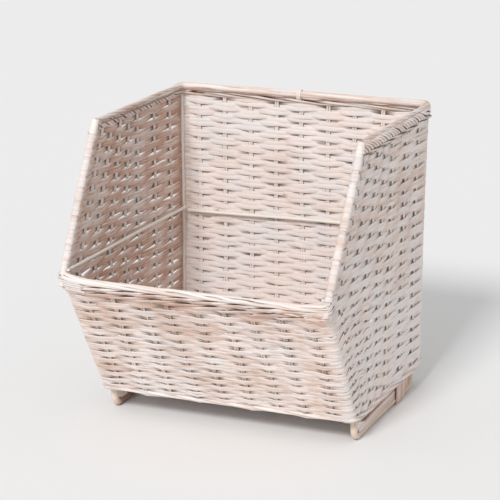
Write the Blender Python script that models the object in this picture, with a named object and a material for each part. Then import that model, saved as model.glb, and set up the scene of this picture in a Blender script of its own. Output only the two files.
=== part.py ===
"""Rattan storage crate: a woven bin with an open sloping front, on two bent cane runners.

Metres, +Z up, the open front towards -Y. The origin is on the floor, under the middle of the
crate. Stakes are pairs of round cores, weavers run over and under them row by row, and a steel
wire frame inside the weave keeps the crate square.
"""

import math
from collections import namedtuple

import bmesh
import bpy
from mathutils import Vector

# Outline, between the middles of the walls, from the middle of the woven base upwards
RIM_WIDTH = 0.350
BASE_WIDTH_SHARE = 0.974
WALL_HEIGHT = 0.346
TOP_DEPTH = 0.251
LIP_DEPTH = 0.361
LIP_HEIGHT = 0.1705
BASE_DEPTH = 0.260
BASE_ABOVE_FLOOR = 0.032

# Gap between pieces that touch, and the looser one where two walls meet
CLEARANCE = 0.0003
CORNER_CLEARANCE = 0.0008

# Steel wire frame
WIRE_DIAMETER = 0.0045
WIRE_SIDES = 8

# Stakes, each a pair of round cores side by side
CORE_DIAMETER = 0.003
CORE_SPACING = 0.0031
CORE_WAIST_SHARE = 0.6
STAKE_BEND = 0.005
BEND_STEPS = 2
THROUGH_STAKES = 9
OUTER_STAKE_SHARE = 0.853
BACK_STAKE_SHARES = (0.155, 0.350, 0.560)
FAN_STAKE_SHARES = (0.20, 0.40, 0.60, 0.80)

# Weavers, half-round strips laid flat
WEAVER_WIDTH = 0.0068
WEAVER_THICKNESS = 0.002
ROW_GAP = 0.0008
BASE_WEAVER_WIDTH = 0.0096
WRAP_STEPS = 3

# Rolled border on the back and side rims, three strands laid round the wire
BORDER_RADIUS = 0.0066
BORDER_VALLEY_SHARE = 0.78
BORDER_POINTS = 9
BORDER_STRANDS = 3
BORDER_STEP = 0.018

# Border of the front lip, strands stacked one above the other
LIP_STRANDS = 4
LIP_STRAND_HEIGHT = 0.0045
LIP_BORDER_DEPTH = 0.0095
LIP_VALLEY_SHARE = 0.80

# Cane runners
CANE_DIAMETER = 0.0085
CANE_SIDES = 8
RUNNER_SPAN_SHARE = 0.968
RUNNER_FRONT = 0.241
RUNNER_REAR = 0.031
RUNNER_BEND = 0.010
RUNNER_BEND_STEPS = 4
RUNNER_PAD = 0.012
RUNNER_RAMP = 0.010
RUNNER_RISE = 0.0024
RAMP_STEPS = 3

# Lashing that ties each runner up to the base, towards the back
LASHING_SHARE = 0.01
LASHING_WIDTH = 0.034
LASHING_THICKNESS = 0.0012
LASHING_STEPS = 6

# Finish
WHITEWASH = (0.80, 0.70, 0.63)
BARE_CORE = (0.66, 0.52, 0.42)
WIRE_PAINT = (0.64, 0.61, 0.53)
CANE_TAN = (0.56, 0.36, 0.23)

# Sizes that follow from the ones above
WIRE_RADIUS = WIRE_DIAMETER / 2
CORE_RADIUS = CORE_DIAMETER / 2
STAKE_SHOULDER = CORE_SPACING / 2
HALF_THICKNESS = WEAVER_THICKNESS / 2
CANE_RADIUS = CANE_DIAMETER / 2
RIM_HALF = RIM_WIDTH / 2
BASE_HALF = RIM_HALF * BASE_WIDTH_SHARE
RUNNER_X = BASE_HALF * RUNNER_SPAN_SHARE
BASE_TURN = BASE_HALF - BASE_WEAVER_WIDTH / 2
LIP_BORDER_HALF = LIP_STRANDS * LIP_STRAND_HEIGHT / 2
FRONT_SLOPE = (LIP_DEPTH - BASE_DEPTH) / LIP_HEIGHT
FRONT_LENGTH = math.hypot(LIP_DEPTH - BASE_DEPTH, LIP_HEIGHT)
BORE_RADIUS = WIRE_RADIUS + CLEARANCE
UP = Vector((0, 0, 1))
ACROSS = Vector((1, 0, 0))


def half_width(height):
    """Half the crate's width, wall middle to wall middle, at a height above the base."""
    return BASE_HALF + (RIM_HALF - BASE_HALF) * height / WALL_HEIGHT


def crate_point(x, depth, height):
    """The point x across, depth in front of the back wall and height above the base."""
    return Vector((x, -depth, BASE_ABOVE_FLOOR + height))


# A flat wall: u runs along its rows, v up it and n out of the crate
class Panel(namedtuple("Panel", "origin u v n")):
    def place(self, u, v, out=0.0):
        return self.origin + self.u * u + self.v * v + self.n * out

    def turn(self, u, v, out=0.0):
        return self.u * u + self.v * v + self.n * out


def back_panel():
    return Panel(crate_point(0, 0, 0), -ACROSS, UP, Vector((0, 1, 0)))


def front_panel():
    up = (crate_point(0, LIP_DEPTH, LIP_HEIGHT) - crate_point(0, BASE_DEPTH, 0)).normalized()
    return Panel(crate_point(0, BASE_DEPTH, 0), ACROSS, up, ACROSS.cross(up))


def side_panel():
    """The left side. The right side is its mirror image."""
    along = Vector((0, -1, 0))
    up = Vector((BASE_HALF - RIM_HALF, 0, WALL_HEIGHT)).normalized()
    return Panel(crate_point(-BASE_HALF, 0, 0), along, up, along.cross(up))


def base_panel():
    return Panel(crate_point(0, 0, 0), ACROSS, Vector((0, -1, 0)), -UP)


SIDE_STRETCH = math.hypot(RIM_HALF - BASE_HALF, WALL_HEIGHT) / WALL_HEIGHT
SIDE_LIP = LIP_HEIGHT * SIDE_STRETCH
SIDE_TOP = WALL_HEIGHT * SIDE_STRETCH


def front_edge(v):
    """How far the side wall reaches from the back, at v up the wall: out to the lip, then in."""
    if v < SIDE_LIP:
        return BASE_DEPTH + (LIP_DEPTH - BASE_DEPTH) * v / SIDE_LIP
    return LIP_DEPTH + (TOP_DEPTH - LIP_DEPTH) * (v - SIDE_LIP) / (SIDE_TOP - SIDE_LIP)


def through_stake_places():
    """Where the through stakes stand, as shares of half the width, from left to right."""
    gaps = THROUGH_STAKES - 1
    return [OUTER_STAKE_SHARE * (2 * k / gaps - 1) for k in range(THROUGH_STAKES)]


def through_stake_lines(half_at):
    """The through stakes as lines of one wall: each gives u at v."""
    return [lambda v, share=share: share * half_at(v) for share in through_stake_places()]


def side_stake_lines():
    """The side stakes: the rear ones upright, the front ones fanned out towards the lip."""
    rear = [share * TOP_DEPTH for share in BACK_STAKE_SHARES]
    last = rear[-1]
    upright = [lambda v, u=u: u for u in rear]
    fanned = [
        lambda v, share=share: last + share * (front_edge(v) - last)
        for share in FAN_STAKE_SHARES
    ]
    return upright + fanned


def crest(lines, low, high):
    """How far a weaver's middle stands off the wall's middle where it crosses a stake."""
    gaps = [
        after(v) - before(v)
        for before, after in zip(lines, lines[1:])
        for v in (low, high)
    ]
    lean = max(abs(line(high) - line(low)) / (high - low) for line in lines)
    shoulder = STAKE_SHOULDER * math.hypot(1, lean)
    stand_off = CORE_RADIUS + CLEARANCE + HALF_THICKNESS
    return stand_off / (1 - 2 * shoulder / min(gaps))


BASE_CREST = crest(through_stake_lines(lambda v: BASE_HALF), 0, BASE_DEPTH)
BACK_CREST = crest(through_stake_lines(half_width), 0, WALL_HEIGHT)
SIDE_CREST = max(
    crest(side_stake_lines(), 0, SIDE_LIP),
    crest(side_stake_lines(), SIDE_LIP, SIDE_TOP),
)
FIRST_ROW = BASE_CREST + HALF_THICKNESS + CLEARANCE + WEAVER_WIDTH / 2

# Wires lie against the weave inside it, and the uprights stand in the corners, clear of both walls
SIDE_WIRE_INSET = SIDE_CREST + HALF_THICKNESS + CLEARANCE + WIRE_RADIUS
BACK_WIRE_INSET = BACK_CREST + HALF_THICKNESS + CLEARANCE + WIRE_RADIUS
UPRIGHT_INSET = HALF_THICKNESS + CORNER_CLEARANCE + WIRE_RADIUS
POST_INSET = UPRIGHT_INSET + CORNER_CLEARANCE
BASE_WIRE_HEIGHT = BASE_CREST + HALF_THICKNESS + CLEARANCE + WIRE_RADIUS


def material(name, colour, roughness, metallic=0.0):
    made = bpy.data.materials.new(name)
    made.use_nodes = True
    shader = made.node_tree.nodes["Principled BSDF"]
    shader.inputs["Base Color"].default_value = (*colour, 1)
    shader.inputs["Roughness"].default_value = roughness
    shader.inputs["Metallic"].default_value = metallic
    return made


def add_object(name, points, faces, finish, smooth=False):
    """One closed body as an object, with its faces turned outwards."""
    mesh = bpy.data.meshes.new(name)
    mesh.from_pydata([tuple(point) for point in points], [], faces)
    body = bmesh.new()
    body.from_mesh(mesh)
    bmesh.ops.recalc_face_normals(body, faces=body.faces)
    body.to_mesh(mesh)
    body.free()
    if smooth:
        mesh.shade_smooth()
        mesh.set_sharp_from_angle(angle=math.radians(50))
    mesh.materials.append(finish)
    made = bpy.data.objects.new(name, mesh)
    bpy.context.scene.collection.objects.link(made)
    return made


def mirrored(source, name):
    """The same piece on the other side of the crate."""
    points = [Vector((-vertex.co.x, vertex.co.y, vertex.co.z)) for vertex in source.data.vertices]
    faces = [tuple(face.vertices) for face in source.data.polygons]
    smooth = source.data.polygons[0].use_smooth
    return add_object(name, points, faces, source.data.materials[0], smooth)


def skin(rings, closed=False):
    """Points and faces of a body lofted through rings, with flat ends unless it is closed."""
    count = len(rings[0])
    points = [point for ring in rings for point in ring]
    spans = len(rings) if closed else len(rings) - 1
    faces = []
    for ring in range(spans):
        start = ring * count
        end = (ring + 1) % len(rings) * count
        for k in range(count):
            after = (k + 1) % count
            faces.append((start + k, start + after, end + after, end + k))
    if not closed:
        faces.append(tuple(range(count)))
        faces.append(tuple(range(len(points) - count, len(points))))
    return points, faces


def skin_with_bore(rings, bore_rings):
    """A body lofted through rings, with an open bore through bore_rings from end to end."""
    outer, outer_faces = skin(rings)
    inner, inner_faces = skin(bore_rings)
    count = len(rings[0])
    shift = len(outer)
    faces = outer_faces[:-2]
    faces += [tuple(shift + k for k in face) for face in inner_faces[:-2]]
    ends = ((0, shift), (shift - count, shift + len(inner) - count))
    for outside, inside in ends:
        for k in range(count):
            after = (k + 1) % count
            faces.append((outside + k, outside + after, inside + after, inside + k))
    return outer + inner, faces


def mitred_rings(path, profiles, facing, closed=False, before=None, after=None):
    """Rings of a profile along a path, mitred where it turns.

    A profile's points are (across, facing). before and after are the directions in which the
    path comes in and goes on past its ends, where those are mitred too.
    """
    count = len(path)
    legs = [(path[(k + 1) % count] - path[k]).normalized() for k in range(count)]
    if not closed:
        legs[-1] = after or legs[-2]
    came = legs[-1] if closed else (before or legs[0])
    frame_up = (facing - came * facing.dot(came)).normalized()
    rings = []
    for point, profile, leg in zip(path, profiles, legs):
        turn = (came + leg).normalized()
        sideways = frame_up.cross(came)
        ring = []
        for across, up in profile:
            offset = sideways * across + frame_up * up
            offset -= came * (offset.dot(turn) / came.dot(turn))
            ring.append(point + offset)
        rings.append(ring)
        frame_up = came.rotation_difference(leg) @ frame_up
        came = leg
    return rings


def round_profile(radius, sides, start=0.5):
    """A regular outline. With start at a half it has a flat side below."""
    turns = [2 * math.pi * (k + start) / sides for k in range(sides)]
    return [(radius * math.cos(turn), radius * math.sin(turn)) for turn in turns]


def bar(name, path, radius, sides, finish, facing=UP, closed=False):
    profiles = [round_profile(radius, sides)] * len(path)
    rings = mitred_rings(path, profiles, facing, closed)
    return add_object(name, *skin(rings, closed), finish, smooth=True)


def arc(corner, back, ahead, radius, steps):
    """Points of a round bend at a corner, between the unit directions back and ahead of it."""
    half_opening = back.angle(ahead) / 2
    centre = corner + (back + ahead).normalized() * radius / math.sin(half_opening)
    reach = radius / math.tan(half_opening)
    first = corner + back * reach - centre
    turn = first.rotation_difference(corner + ahead * reach - centre)
    points = []
    for step in range(steps + 1):
        part = turn.copy()
        part.angle = turn.angle * step / steps
        points.append(centre + part @ first)
    return points


# Weave


def rows_between(low, high, width, even=False):
    """Heights of evenly spaced rows, as many as fit with a gap between neighbours."""
    count = int((high - low) / (width + ROW_GAP)) + 1
    if even and count % 2:
        count -= 1
    return [low + (high - low) * k / (count - 1) for k in range(count)]


def wall_rows():
    """Rows of the back and sides. They leave out the height of the wire at the lip."""
    half_row = WEAVER_WIDTH / 2
    below = LIP_HEIGHT - WIRE_RADIUS - CLEARANCE - half_row
    above = LIP_HEIGHT + CLEARANCE + half_row
    top = WALL_HEIGHT - BORDER_RADIUS - CLEARANCE - half_row
    return rows_between(FIRST_ROW, below, WEAVER_WIDTH, True) + rows_between(
        above, top, WEAVER_WIDTH, True
    )


Strip = namedtuple("Strip", "panel half_width")


def strip_ring(strip, u, v, out, wide, thick):
    """Three corners of a half-round strip: flat on one face, with a ridge on the other."""
    middle = strip.panel.place(u, v, out)
    wide = strip.panel.turn(*wide) * strip.half_width
    thick = strip.panel.turn(*thick) * HALF_THICKNESS
    return [middle - wide - thick, middle + wide - thick, middle + thick]


def turn_in_wall(strip, edge, heights, going, side, face):
    """Two rings where a weaver turns up along a wall's edge into the next row."""
    low, high = heights
    start = Vector((edge(low), low))
    end = Vector((edge(high), high))
    leg = (end - start).normalized()
    before = Vector((0, side))
    along = Vector((-leg.y, leg.x)) * side * going
    after = -before
    rings = []
    for point, first, second in ((start, before, along), (end, along, after)):
        mitre = (first + second) / (1 + first.dot(second))
        rings.append(strip_ring(strip, point.x, point.y, 0, tuple(mitre), (0, 0, face)))
    return rings


def turn_round_bar(strip, edge, heights, passes, side, face):
    """Rings where a weaver goes round the bar at a wall's edge into the next row."""
    low, high = heights
    lean = (edge(high) - edge(low)) / (high - low)
    outward = Vector((1, -lean)).normalized()
    half_step = math.pi / WRAP_STEPS / 2
    radius = (BORE_RADIUS + HALF_THICKNESS) / math.cos(half_step)
    rings = []
    for step in range(WRAP_STEPS + 1):
        angle = passes * (math.pi / 2 - 2 * half_step * step)
        v = low + (high - low) * step / WRAP_STEPS
        reach = outward * radius * math.cos(angle)
        thick = outward * math.cos(angle) * face * passes
        rings.append(
            strip_ring(
                strip,
                edge(v) + reach.x,
                v + reach.y,
                radius * math.sin(angle),
                (lean * side, side),
                (thick.x, thick.y, math.sin(angle) * face * passes),
            )
        )
    return rings


WRAP_REACH = (
    (BORE_RADIUS + HALF_THICKNESS) / math.cos(math.pi / WRAP_STEPS / 2) + HALF_THICKNESS
)


def weave(name, panel, rows, stakes, stand_off, edges, finish, width=WEAVER_WIDTH, wrap_above=None):
    """One weaver laid back and forth over a wall, over one stake and under the next.

    edges gives the middle of its turns at the start and at the end of a row. Above the height
    wrap_above, it goes round the bar at the end of the row.
    """
    strip = Strip(panel, width / 2)
    probe = width / 2
    side = 1
    face = 1
    rings = [strip_ring(strip, edges[0](rows[0]), rows[0], 0, (0, side), (0, 0, face))]
    for row, v in enumerate(rows):
        going = -1 if row % 2 else 1
        crossed = list(enumerate(stakes))[::going]
        for k, stake in crossed:
            out = stand_off if (row + k) % 2 else -stand_off
            lean = (stake(v + probe) - stake(v - probe)) / (2 * probe)
            wide = (lean * side, side)
            rings.append(strip_ring(strip, stake(v), v, out, wide, (0, 0, face)))
        edge = edges[1] if going > 0 else edges[0]
        if row + 1 == len(rows):
            rings.append(strip_ring(strip, edge(v), v, 0, (0, side), (0, 0, face)))
            break
        heights = (v, rows[row + 1])
        if going > 0 and wrap_above is not None and v > wrap_above:
            passes = 1 if (row + len(stakes)) % 2 else -1
            rings += turn_round_bar(strip, front_edge, heights, passes, side, face)
            face = -face
        else:
            rings += turn_in_wall(strip, edge, heights, going, side, face)
            side = -side
    return add_object(name, *skin(rings), finish)


def butted_edges(half_at, width):
    """Turns that stop against the side walls, at the left and the right of a wall."""
    inset = HALF_THICKNESS + CORNER_CLEARANCE + width / 2
    return (lambda v: inset - half_at(v)), (lambda v: half_at(v) - inset)


def weave_back(finish):
    return weave(
        "weave_back",
        back_panel(),
        wall_rows(),
        through_stake_lines(half_width),
        BACK_CREST,
        butted_edges(half_width, WEAVER_WIDTH),
        finish,
    )


def front_half_width(v):
    return half_width(v * LIP_HEIGHT / FRONT_LENGTH)


def weave_front(finish):
    top = FRONT_LENGTH - LIP_BORDER_HALF - CLEARANCE - WEAVER_WIDTH / 2
    return weave(
        "weave_front",
        front_panel(),
        rows_between(FIRST_ROW, top, WEAVER_WIDTH),
        through_stake_lines(front_half_width),
        BACK_CREST,
        butted_edges(front_half_width, WEAVER_WIDTH),
        finish,
    )


def weave_side(finish):
    inset = WEAVER_WIDTH / 2 - HALF_THICKNESS
    slanted_inset = inset * math.hypot(1, FRONT_SLOPE)
    edges = (lambda v: inset), (lambda v: front_edge(v) - slanted_inset)
    return weave(
        "weave_left",
        side_panel(),
        [height * SIDE_STRETCH for height in wall_rows()],
        side_stake_lines(),
        SIDE_CREST,
        edges,
        finish,
        wrap_above=SIDE_LIP,
    )


def weave_base(finish):
    half_row = BASE_WEAVER_WIDTH / 2
    edges = (lambda v: -BASE_TURN), (lambda v: BASE_TURN)
    margin = STAKE_BEND + half_row
    return weave(
        "weave_base",
        base_panel(),
        rows_between(margin, BASE_DEPTH - margin, BASE_WEAVER_WIDTH),
        through_stake_lines(lambda v: BASE_HALF),
        BASE_CREST,
        edges,
        finish,
        width=BASE_WEAVER_WIDTH,
    )


# Stakes


def stake_profile():
    """Two round cores that touch, as one outline: (through the wall, along the wall)."""
    edge = STAKE_SHOULDER + CORE_RADIUS
    waist = CORE_RADIUS * CORE_WAIST_SHARE
    outer = [(0, edge), (CORE_RADIUS, STAKE_SHOULDER), (waist, 0), (CORE_RADIUS, -STAKE_SHOULDER)]
    return outer + [(-through, -along) for through, along in outer]


def stake(name, path, facing, finish):
    profiles = [stake_profile()] * len(path)
    return add_object(name, *skin(mitred_rings(path, profiles, facing)), finish, smooth=True)


def through_stake(number, share, finish):
    """A stake that comes down the front, crosses under the base and goes up the back."""
    lip_end = LIP_HEIGHT * (1 - (LIP_BORDER_HALF + CLEARANCE) / FRONT_LENGTH)
    rim_end = WALL_HEIGHT - BORDER_RADIUS - CLEARANCE
    front_top = crate_point(
        share * half_width(lip_end), BASE_DEPTH + FRONT_SLOPE * lip_end, lip_end
    )
    front_corner = crate_point(share * BASE_HALF, BASE_DEPTH, 0)
    back_corner = crate_point(share * BASE_HALF, 0, 0)
    back_top = crate_point(share * half_width(rim_end), 0, rim_end)
    along_base = (back_corner - front_corner).normalized()
    front_bend = arc(
        front_corner,
        (front_top - front_corner).normalized(),
        along_base,
        STAKE_BEND,
        BEND_STEPS,
    )
    back_bend = arc(
        back_corner,
        -along_base,
        (back_top - back_corner).normalized(),
        STAKE_BEND,
        BEND_STEPS,
    )
    path = [front_top, *front_bend, *back_bend, back_top]
    return stake(f"stake_through_{number}", path, ACROSS, finish)


def side_stake(number, line, finish):
    panel = side_panel()
    lean = Vector((line(SIDE_LIP) - line(0), SIDE_LIP)).normalized()
    top_lean = Vector((line(SIDE_TOP) - line(SIDE_LIP), SIDE_TOP - SIDE_LIP)).normalized()
    half_pair = STAKE_SHOULDER + CORE_RADIUS
    foot = HALF_THICKNESS + CLEARANCE + half_pair * abs(lean.x)
    top = SIDE_TOP - BORDER_RADIUS - CLEARANCE - half_pair * abs(top_lean.x)
    heights = (foot, SIDE_LIP, top)
    path = [panel.place(line(v), v) for v in heights]
    facing = panel.turn(lean.y, -lean.x)
    return stake(f"stake_left_{number}", path, facing, finish)


# Wire frame


def rim_corners():
    """Corners of the mouth, round from the lip's left end by the back to its right end."""
    lip = half_width(LIP_HEIGHT)
    return [
        crate_point(-lip, LIP_DEPTH, LIP_HEIGHT),
        crate_point(-RIM_HALF, TOP_DEPTH, WALL_HEIGHT),
        crate_point(-RIM_HALF, 0, WALL_HEIGHT),
        crate_point(RIM_HALF, 0, WALL_HEIGHT),
        crate_point(RIM_HALF, TOP_DEPTH, WALL_HEIGHT),
        crate_point(lip, LIP_DEPTH, LIP_HEIGHT),
    ]


def front_inside(height, inset):
    """Depth of a point that far inside the middle of the slanted front, at a height."""
    return BASE_DEPTH + FRONT_SLOPE * height - inset * math.hypot(1, FRONT_SLOPE)


def wire(name, path, finish, closed=False):
    return bar(name, path, WIRE_RADIUS, WIRE_SIDES, finish, closed=closed)


def upright_wire(name, path, finish):
    return bar(name, path, WIRE_RADIUS, WIRE_SIDES, finish, facing=ACROSS)


def lip_level_wires(finish):
    """The wires that run round inside the back and the sides, level with the lip."""
    x = half_width(LIP_HEIGHT) - SIDE_WIRE_INSET
    start = UPRIGHT_INSET + WIRE_RADIUS + CLEARANCE
    end = front_inside(LIP_HEIGHT, LIP_BORDER_DEPTH / 2 + CLEARANCE) - WIRE_RADIUS * FRONT_SLOPE
    path = [crate_point(-x, depth, LIP_HEIGHT) for depth in (start, end)]
    left = wire("lip_level_wire_left", path, finish)
    mirrored(left, "lip_level_wire_right")
    reach = x - WIRE_RADIUS - CLEARANCE
    path = [crate_point(side * reach, BACK_WIRE_INSET, LIP_HEIGHT) for side in (-1, 1)]
    wire("lip_level_wire_back", path, finish)


def base_wires(finish):
    """The four wires of the base rectangle, on the weave of the base."""
    height = BASE_WIRE_HEIGHT
    x = half_width(height) - SIDE_WIRE_INSET
    start = UPRIGHT_INSET + WIRE_RADIUS + CLEARANCE
    front_clear = POST_INSET + WIRE_RADIUS * (1 + FRONT_SLOPE) + CLEARANCE
    end = front_inside(height, front_clear)
    left = wire("base_wire_left", [crate_point(-x, depth, height) for depth in (start, end)], finish)
    mirrored(left, "base_wire_right")
    reach = x - WIRE_RADIUS - CLEARANCE
    depths = {"back": BACK_WIRE_INSET, "front": front_inside(height, BACK_WIRE_INSET)}
    for place, depth in depths.items():
        path = [crate_point(side * reach, depth, height) for side in (-1, 1)]
        wire(f"base_wire_{place}", path, finish)


def corner_wires(finish):
    """Uprights in the back corners and posts in the slanted front corners."""
    foot = BASE_CREST + HALF_THICKNESS + CLEARANCE
    top = WALL_HEIGHT - BORDER_RADIUS - CLEARANCE
    path = [
        crate_point(UPRIGHT_INSET - half_width(height), UPRIGHT_INSET, height)
        for height in (foot, top)
    ]
    left = upright_wire("upright_wire_left", path, finish)
    mirrored(left, "upright_wire_right")
    post_top = LIP_HEIGHT * (1 - (LIP_BORDER_HALF + CLEARANCE) / FRONT_LENGTH)
    post_top -= POST_INSET * FRONT_SLOPE
    path = [
        crate_point(POST_INSET - half_width(height), front_inside(height, POST_INSET), height)
        for height in (foot, post_top)
    ]
    left = upright_wire("front_post_wire_left", path, finish)
    mirrored(left, "front_post_wire_right")


# Borders


def rolled_profile(step, radius):
    """Three strands round a wire, turned a little further at each step along the border."""
    profile = []
    for k, (x, y) in enumerate(round_profile(radius, BORDER_POINTS)):
        share = 1 if (k - step) % BORDER_STRANDS else BORDER_VALLEY_SHARE
        profile.append((x * share, y * share))
    return profile


def rolled_border(name, corners, before, after, finish):
    """A rolled border from one corner of the rim wire to the next, mitred to its neighbours."""
    start, end = corners
    leg = (end - start).normalized()
    start = start + leg * CLEARANCE
    end = end - leg * CLEARANCE
    steps = max(2, round((end - start).length / BORDER_STEP))
    path = [start.lerp(end, step / steps) for step in range(steps + 1)]
    profiles = [rolled_profile(step, BORDER_RADIUS) for step in range(steps + 1)]
    rings = mitred_rings(path, profiles, UP, before=before, after=after)
    bore = round_profile(BORE_RADIUS / math.cos(math.pi / BORDER_POINTS), BORDER_POINTS)
    bore_rings = mitred_rings([start, end], [bore, bore], UP, before=before, after=after)
    return add_object(name, *skin_with_bore(rings, bore_rings), finish, smooth=True)


def rim_borders(finish):
    corners = rim_corners()
    legs = [(corners[k + 1] - corners[k]).normalized() for k in range(len(corners) - 1)]
    rolled_border("rim_border_back", corners[2:4], legs[1], legs[3], finish)
    left = rolled_border("rim_border_left", corners[1:3], legs[0], legs[2], finish)
    mirrored(left, "rim_border_right")


def lip_profile():
    """Strands stacked up the front wall: (through the wall, up the wall), as one outline."""
    peak = LIP_BORDER_DEPTH / 2
    outer = []
    for k in range(2 * LIP_STRANDS - 1):
        share = LIP_VALLEY_SHARE if k % 2 else 1
        up = (LIP_STRANDS - 1 - k) * LIP_STRAND_HEIGHT / 2
        outer.append((peak * share, up))
    outline = [(0, LIP_BORDER_HALF), *outer]
    return outline + [(-through, -up) for through, up in outline]


def lip_border(finish):
    reach = half_width(LIP_HEIGHT) - WRAP_REACH - CLEARANCE
    path = [crate_point(side * reach, LIP_DEPTH, LIP_HEIGHT) for side in (-1, 1)]
    facing = front_panel().v
    profile = lip_profile()
    widest_gap = max(
        math.atan2(*first[::-1]) - math.atan2(*second[::-1])
        for first, second in zip(profile, profile[1 : 2 * LIP_STRANDS])
    )
    radius = BORE_RADIUS / math.cos(widest_gap / 2)
    bore = [tuple(Vector(point).normalized() * radius) for point in profile]
    rings = mitred_rings(path, [profile, profile], facing)
    bore_rings = mitred_rings(path, [bore, bore], facing)
    return add_object("lip_border", *skin_with_bore(rings, bore_rings), finish, smooth=True)


# Runners


PAD_AXIS = CANE_RADIUS * math.cos(math.pi / CANE_SIDES)
OUTER_STAKE = BASE_HALF * OUTER_STAKE_SHARE


def under_base(inner_x):
    """Height of what reaches up to the base's weave, and no further in than inner_x."""
    dip = BASE_CREST * (BASE_TURN - inner_x) / (BASE_TURN - OUTER_STAKE)
    return BASE_ABOVE_FLOOR - HALF_THICKNESS - CLEARANCE - dip


def runner_point(depth, height):
    return Vector((-RUNNER_X, -depth, height))


def raised_stretch():
    """Where the middle of a runner, raised off the floor, starts and ends from the back."""
    foot = RUNNER_BEND + RUNNER_PAD + RUNNER_RAMP
    return RUNNER_REAR + foot, RUNNER_FRONT - foot


def ramp(low, high):
    """Points of a smooth rise of the cane between two depths, from low to high."""
    points = []
    for step in range(RAMP_STEPS + 1):
        share = step / RAMP_STEPS
        rise = RUNNER_RISE * (1 - math.cos(math.pi * share)) / 2
        points.append(runner_point(low + (high - low) * share, PAD_AXIS + rise))
    return points


def runner(finish):
    """A cane with both ends turned up to the base. It stands on a pad at each end."""
    rear, front = raised_stretch()
    ahead = Vector((0, -1, 0))
    rear_bend = arc(
        runner_point(RUNNER_REAR, PAD_AXIS), UP, ahead, RUNNER_BEND, RUNNER_BEND_STEPS
    )
    front_bend = arc(
        runner_point(RUNNER_FRONT, PAD_AXIS), -ahead, UP, RUNNER_BEND, RUNNER_BEND_STEPS
    )
    rear_ramp = ramp(rear - RUNNER_RAMP, rear)
    front_ramp = ramp(front + RUNNER_RAMP, front)[::-1]
    top = under_base(RUNNER_X - CANE_RADIUS)
    path = [runner_point(RUNNER_REAR, top), *rear_bend, *rear_ramp, *front_ramp, *front_bend]
    path.append(runner_point(RUNNER_FRONT, top))
    return bar("runner_left", path, CANE_RADIUS, CANE_SIDES, finish, facing=ACROSS)


def lashing(finish):
    """A wide flat binding under the cane, with both ends taken up into the base."""
    rear, front = raised_stretch()
    start = rear + CLEARANCE
    room = front - rear - LASHING_WIDTH - 2 * CLEARANCE
    depth = start + LASHING_SHARE * room + LASHING_WIDTH / 2
    axis = PAD_AXIS + RUNNER_RISE
    half_step = math.pi / LASHING_STEPS / 2
    inner = CANE_RADIUS + CLEARANCE
    middle = (inner + LASHING_THICKNESS / 2) / math.cos(half_step)
    centre = runner_point(depth, axis)
    top = UP * (under_base(RUNNER_X - middle - LASHING_THICKNESS / 2) - axis)
    arms = [centre - ACROSS * middle + top]
    for step in range(LASHING_STEPS + 1):
        angle = math.pi + 2 * half_step * step
        around = ACROSS * math.cos(angle) + UP * math.sin(angle)
        arms.append(centre + around * middle)
    arms.append(centre + ACROSS * middle + top)
    thick = LASHING_THICKNESS / 2
    wide = LASHING_WIDTH / 2
    profile = [(-thick, -wide), (thick, -wide), (thick, wide), (-thick, wide)]
    rings = mitred_rings(arms, [profile] * len(arms), Vector((0, 1, 0)))
    return add_object("lashing_left", *skin(rings), finish)


def clear_scene():
    for old in list(bpy.data.objects):
        bpy.data.objects.remove(old, do_unlink=True)


def centre_on_origin():
    """Moves every piece together, so that the crate stands centred over the origin."""
    points = [vertex.co for made in bpy.data.objects for vertex in made.data.vertices]
    depths = [point.y for point in points]
    lift = min(point.z for point in points)
    shift = Vector((0, (min(depths) + max(depths)) / 2, lift))
    for made in bpy.data.objects:
        for vertex in made.data.vertices:
            vertex.co -= shift


def main():
    clear_scene()
    weaver = material("whitewashed_rattan", WHITEWASH, 0.75)
    core = material("rattan_core", BARE_CORE, 0.8)
    paint = material("painted_wire", WIRE_PAINT, 0.45, 0.1)
    cane = material("tan_cane", CANE_TAN, 0.6)

    weave_back(weaver)
    weave_front(weaver)
    weave_base(weaver)
    mirrored(weave_side(weaver), "weave_right")

    for number, share in enumerate(through_stake_places(), start=1):
        through_stake(number, share, core)
    for number, line in enumerate(side_stake_lines(), start=1):
        mirrored(side_stake(number, line, core), f"stake_right_{number}")

    wire("rim_wire", rim_corners(), paint, closed=True)
    lip_level_wires(paint)
    base_wires(paint)
    corner_wires(paint)

    rim_borders(weaver)
    lip_border(weaver)

    mirrored(runner(cane), "runner_right")
    mirrored(lashing(weaver), "lashing_right")
    centre_on_origin()


main()
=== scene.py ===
"""The looks of the rattan storage crate: every strand of its weave, laid round the CAD frame.

Metres, +Z up, the open front towards -Y. Heights are above the middle of the woven base, and
depths are forwards from the middle of the back wall.
"""

import math

import bpy
import numpy as np
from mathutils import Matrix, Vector


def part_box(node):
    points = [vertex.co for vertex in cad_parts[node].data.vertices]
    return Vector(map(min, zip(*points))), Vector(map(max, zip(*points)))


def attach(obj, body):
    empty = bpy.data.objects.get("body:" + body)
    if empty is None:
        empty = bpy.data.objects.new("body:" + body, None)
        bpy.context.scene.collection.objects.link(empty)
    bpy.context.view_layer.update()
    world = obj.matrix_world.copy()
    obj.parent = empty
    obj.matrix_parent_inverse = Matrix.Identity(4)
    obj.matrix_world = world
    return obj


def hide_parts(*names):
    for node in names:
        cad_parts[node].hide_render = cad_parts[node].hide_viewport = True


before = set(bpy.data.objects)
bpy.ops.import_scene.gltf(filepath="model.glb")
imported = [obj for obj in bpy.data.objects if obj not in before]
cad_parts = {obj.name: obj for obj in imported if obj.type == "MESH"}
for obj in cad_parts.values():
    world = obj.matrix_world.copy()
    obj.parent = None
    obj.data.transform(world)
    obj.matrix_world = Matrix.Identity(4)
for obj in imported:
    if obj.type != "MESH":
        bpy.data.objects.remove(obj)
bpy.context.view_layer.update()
rng = np.random.default_rng(11)


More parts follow.
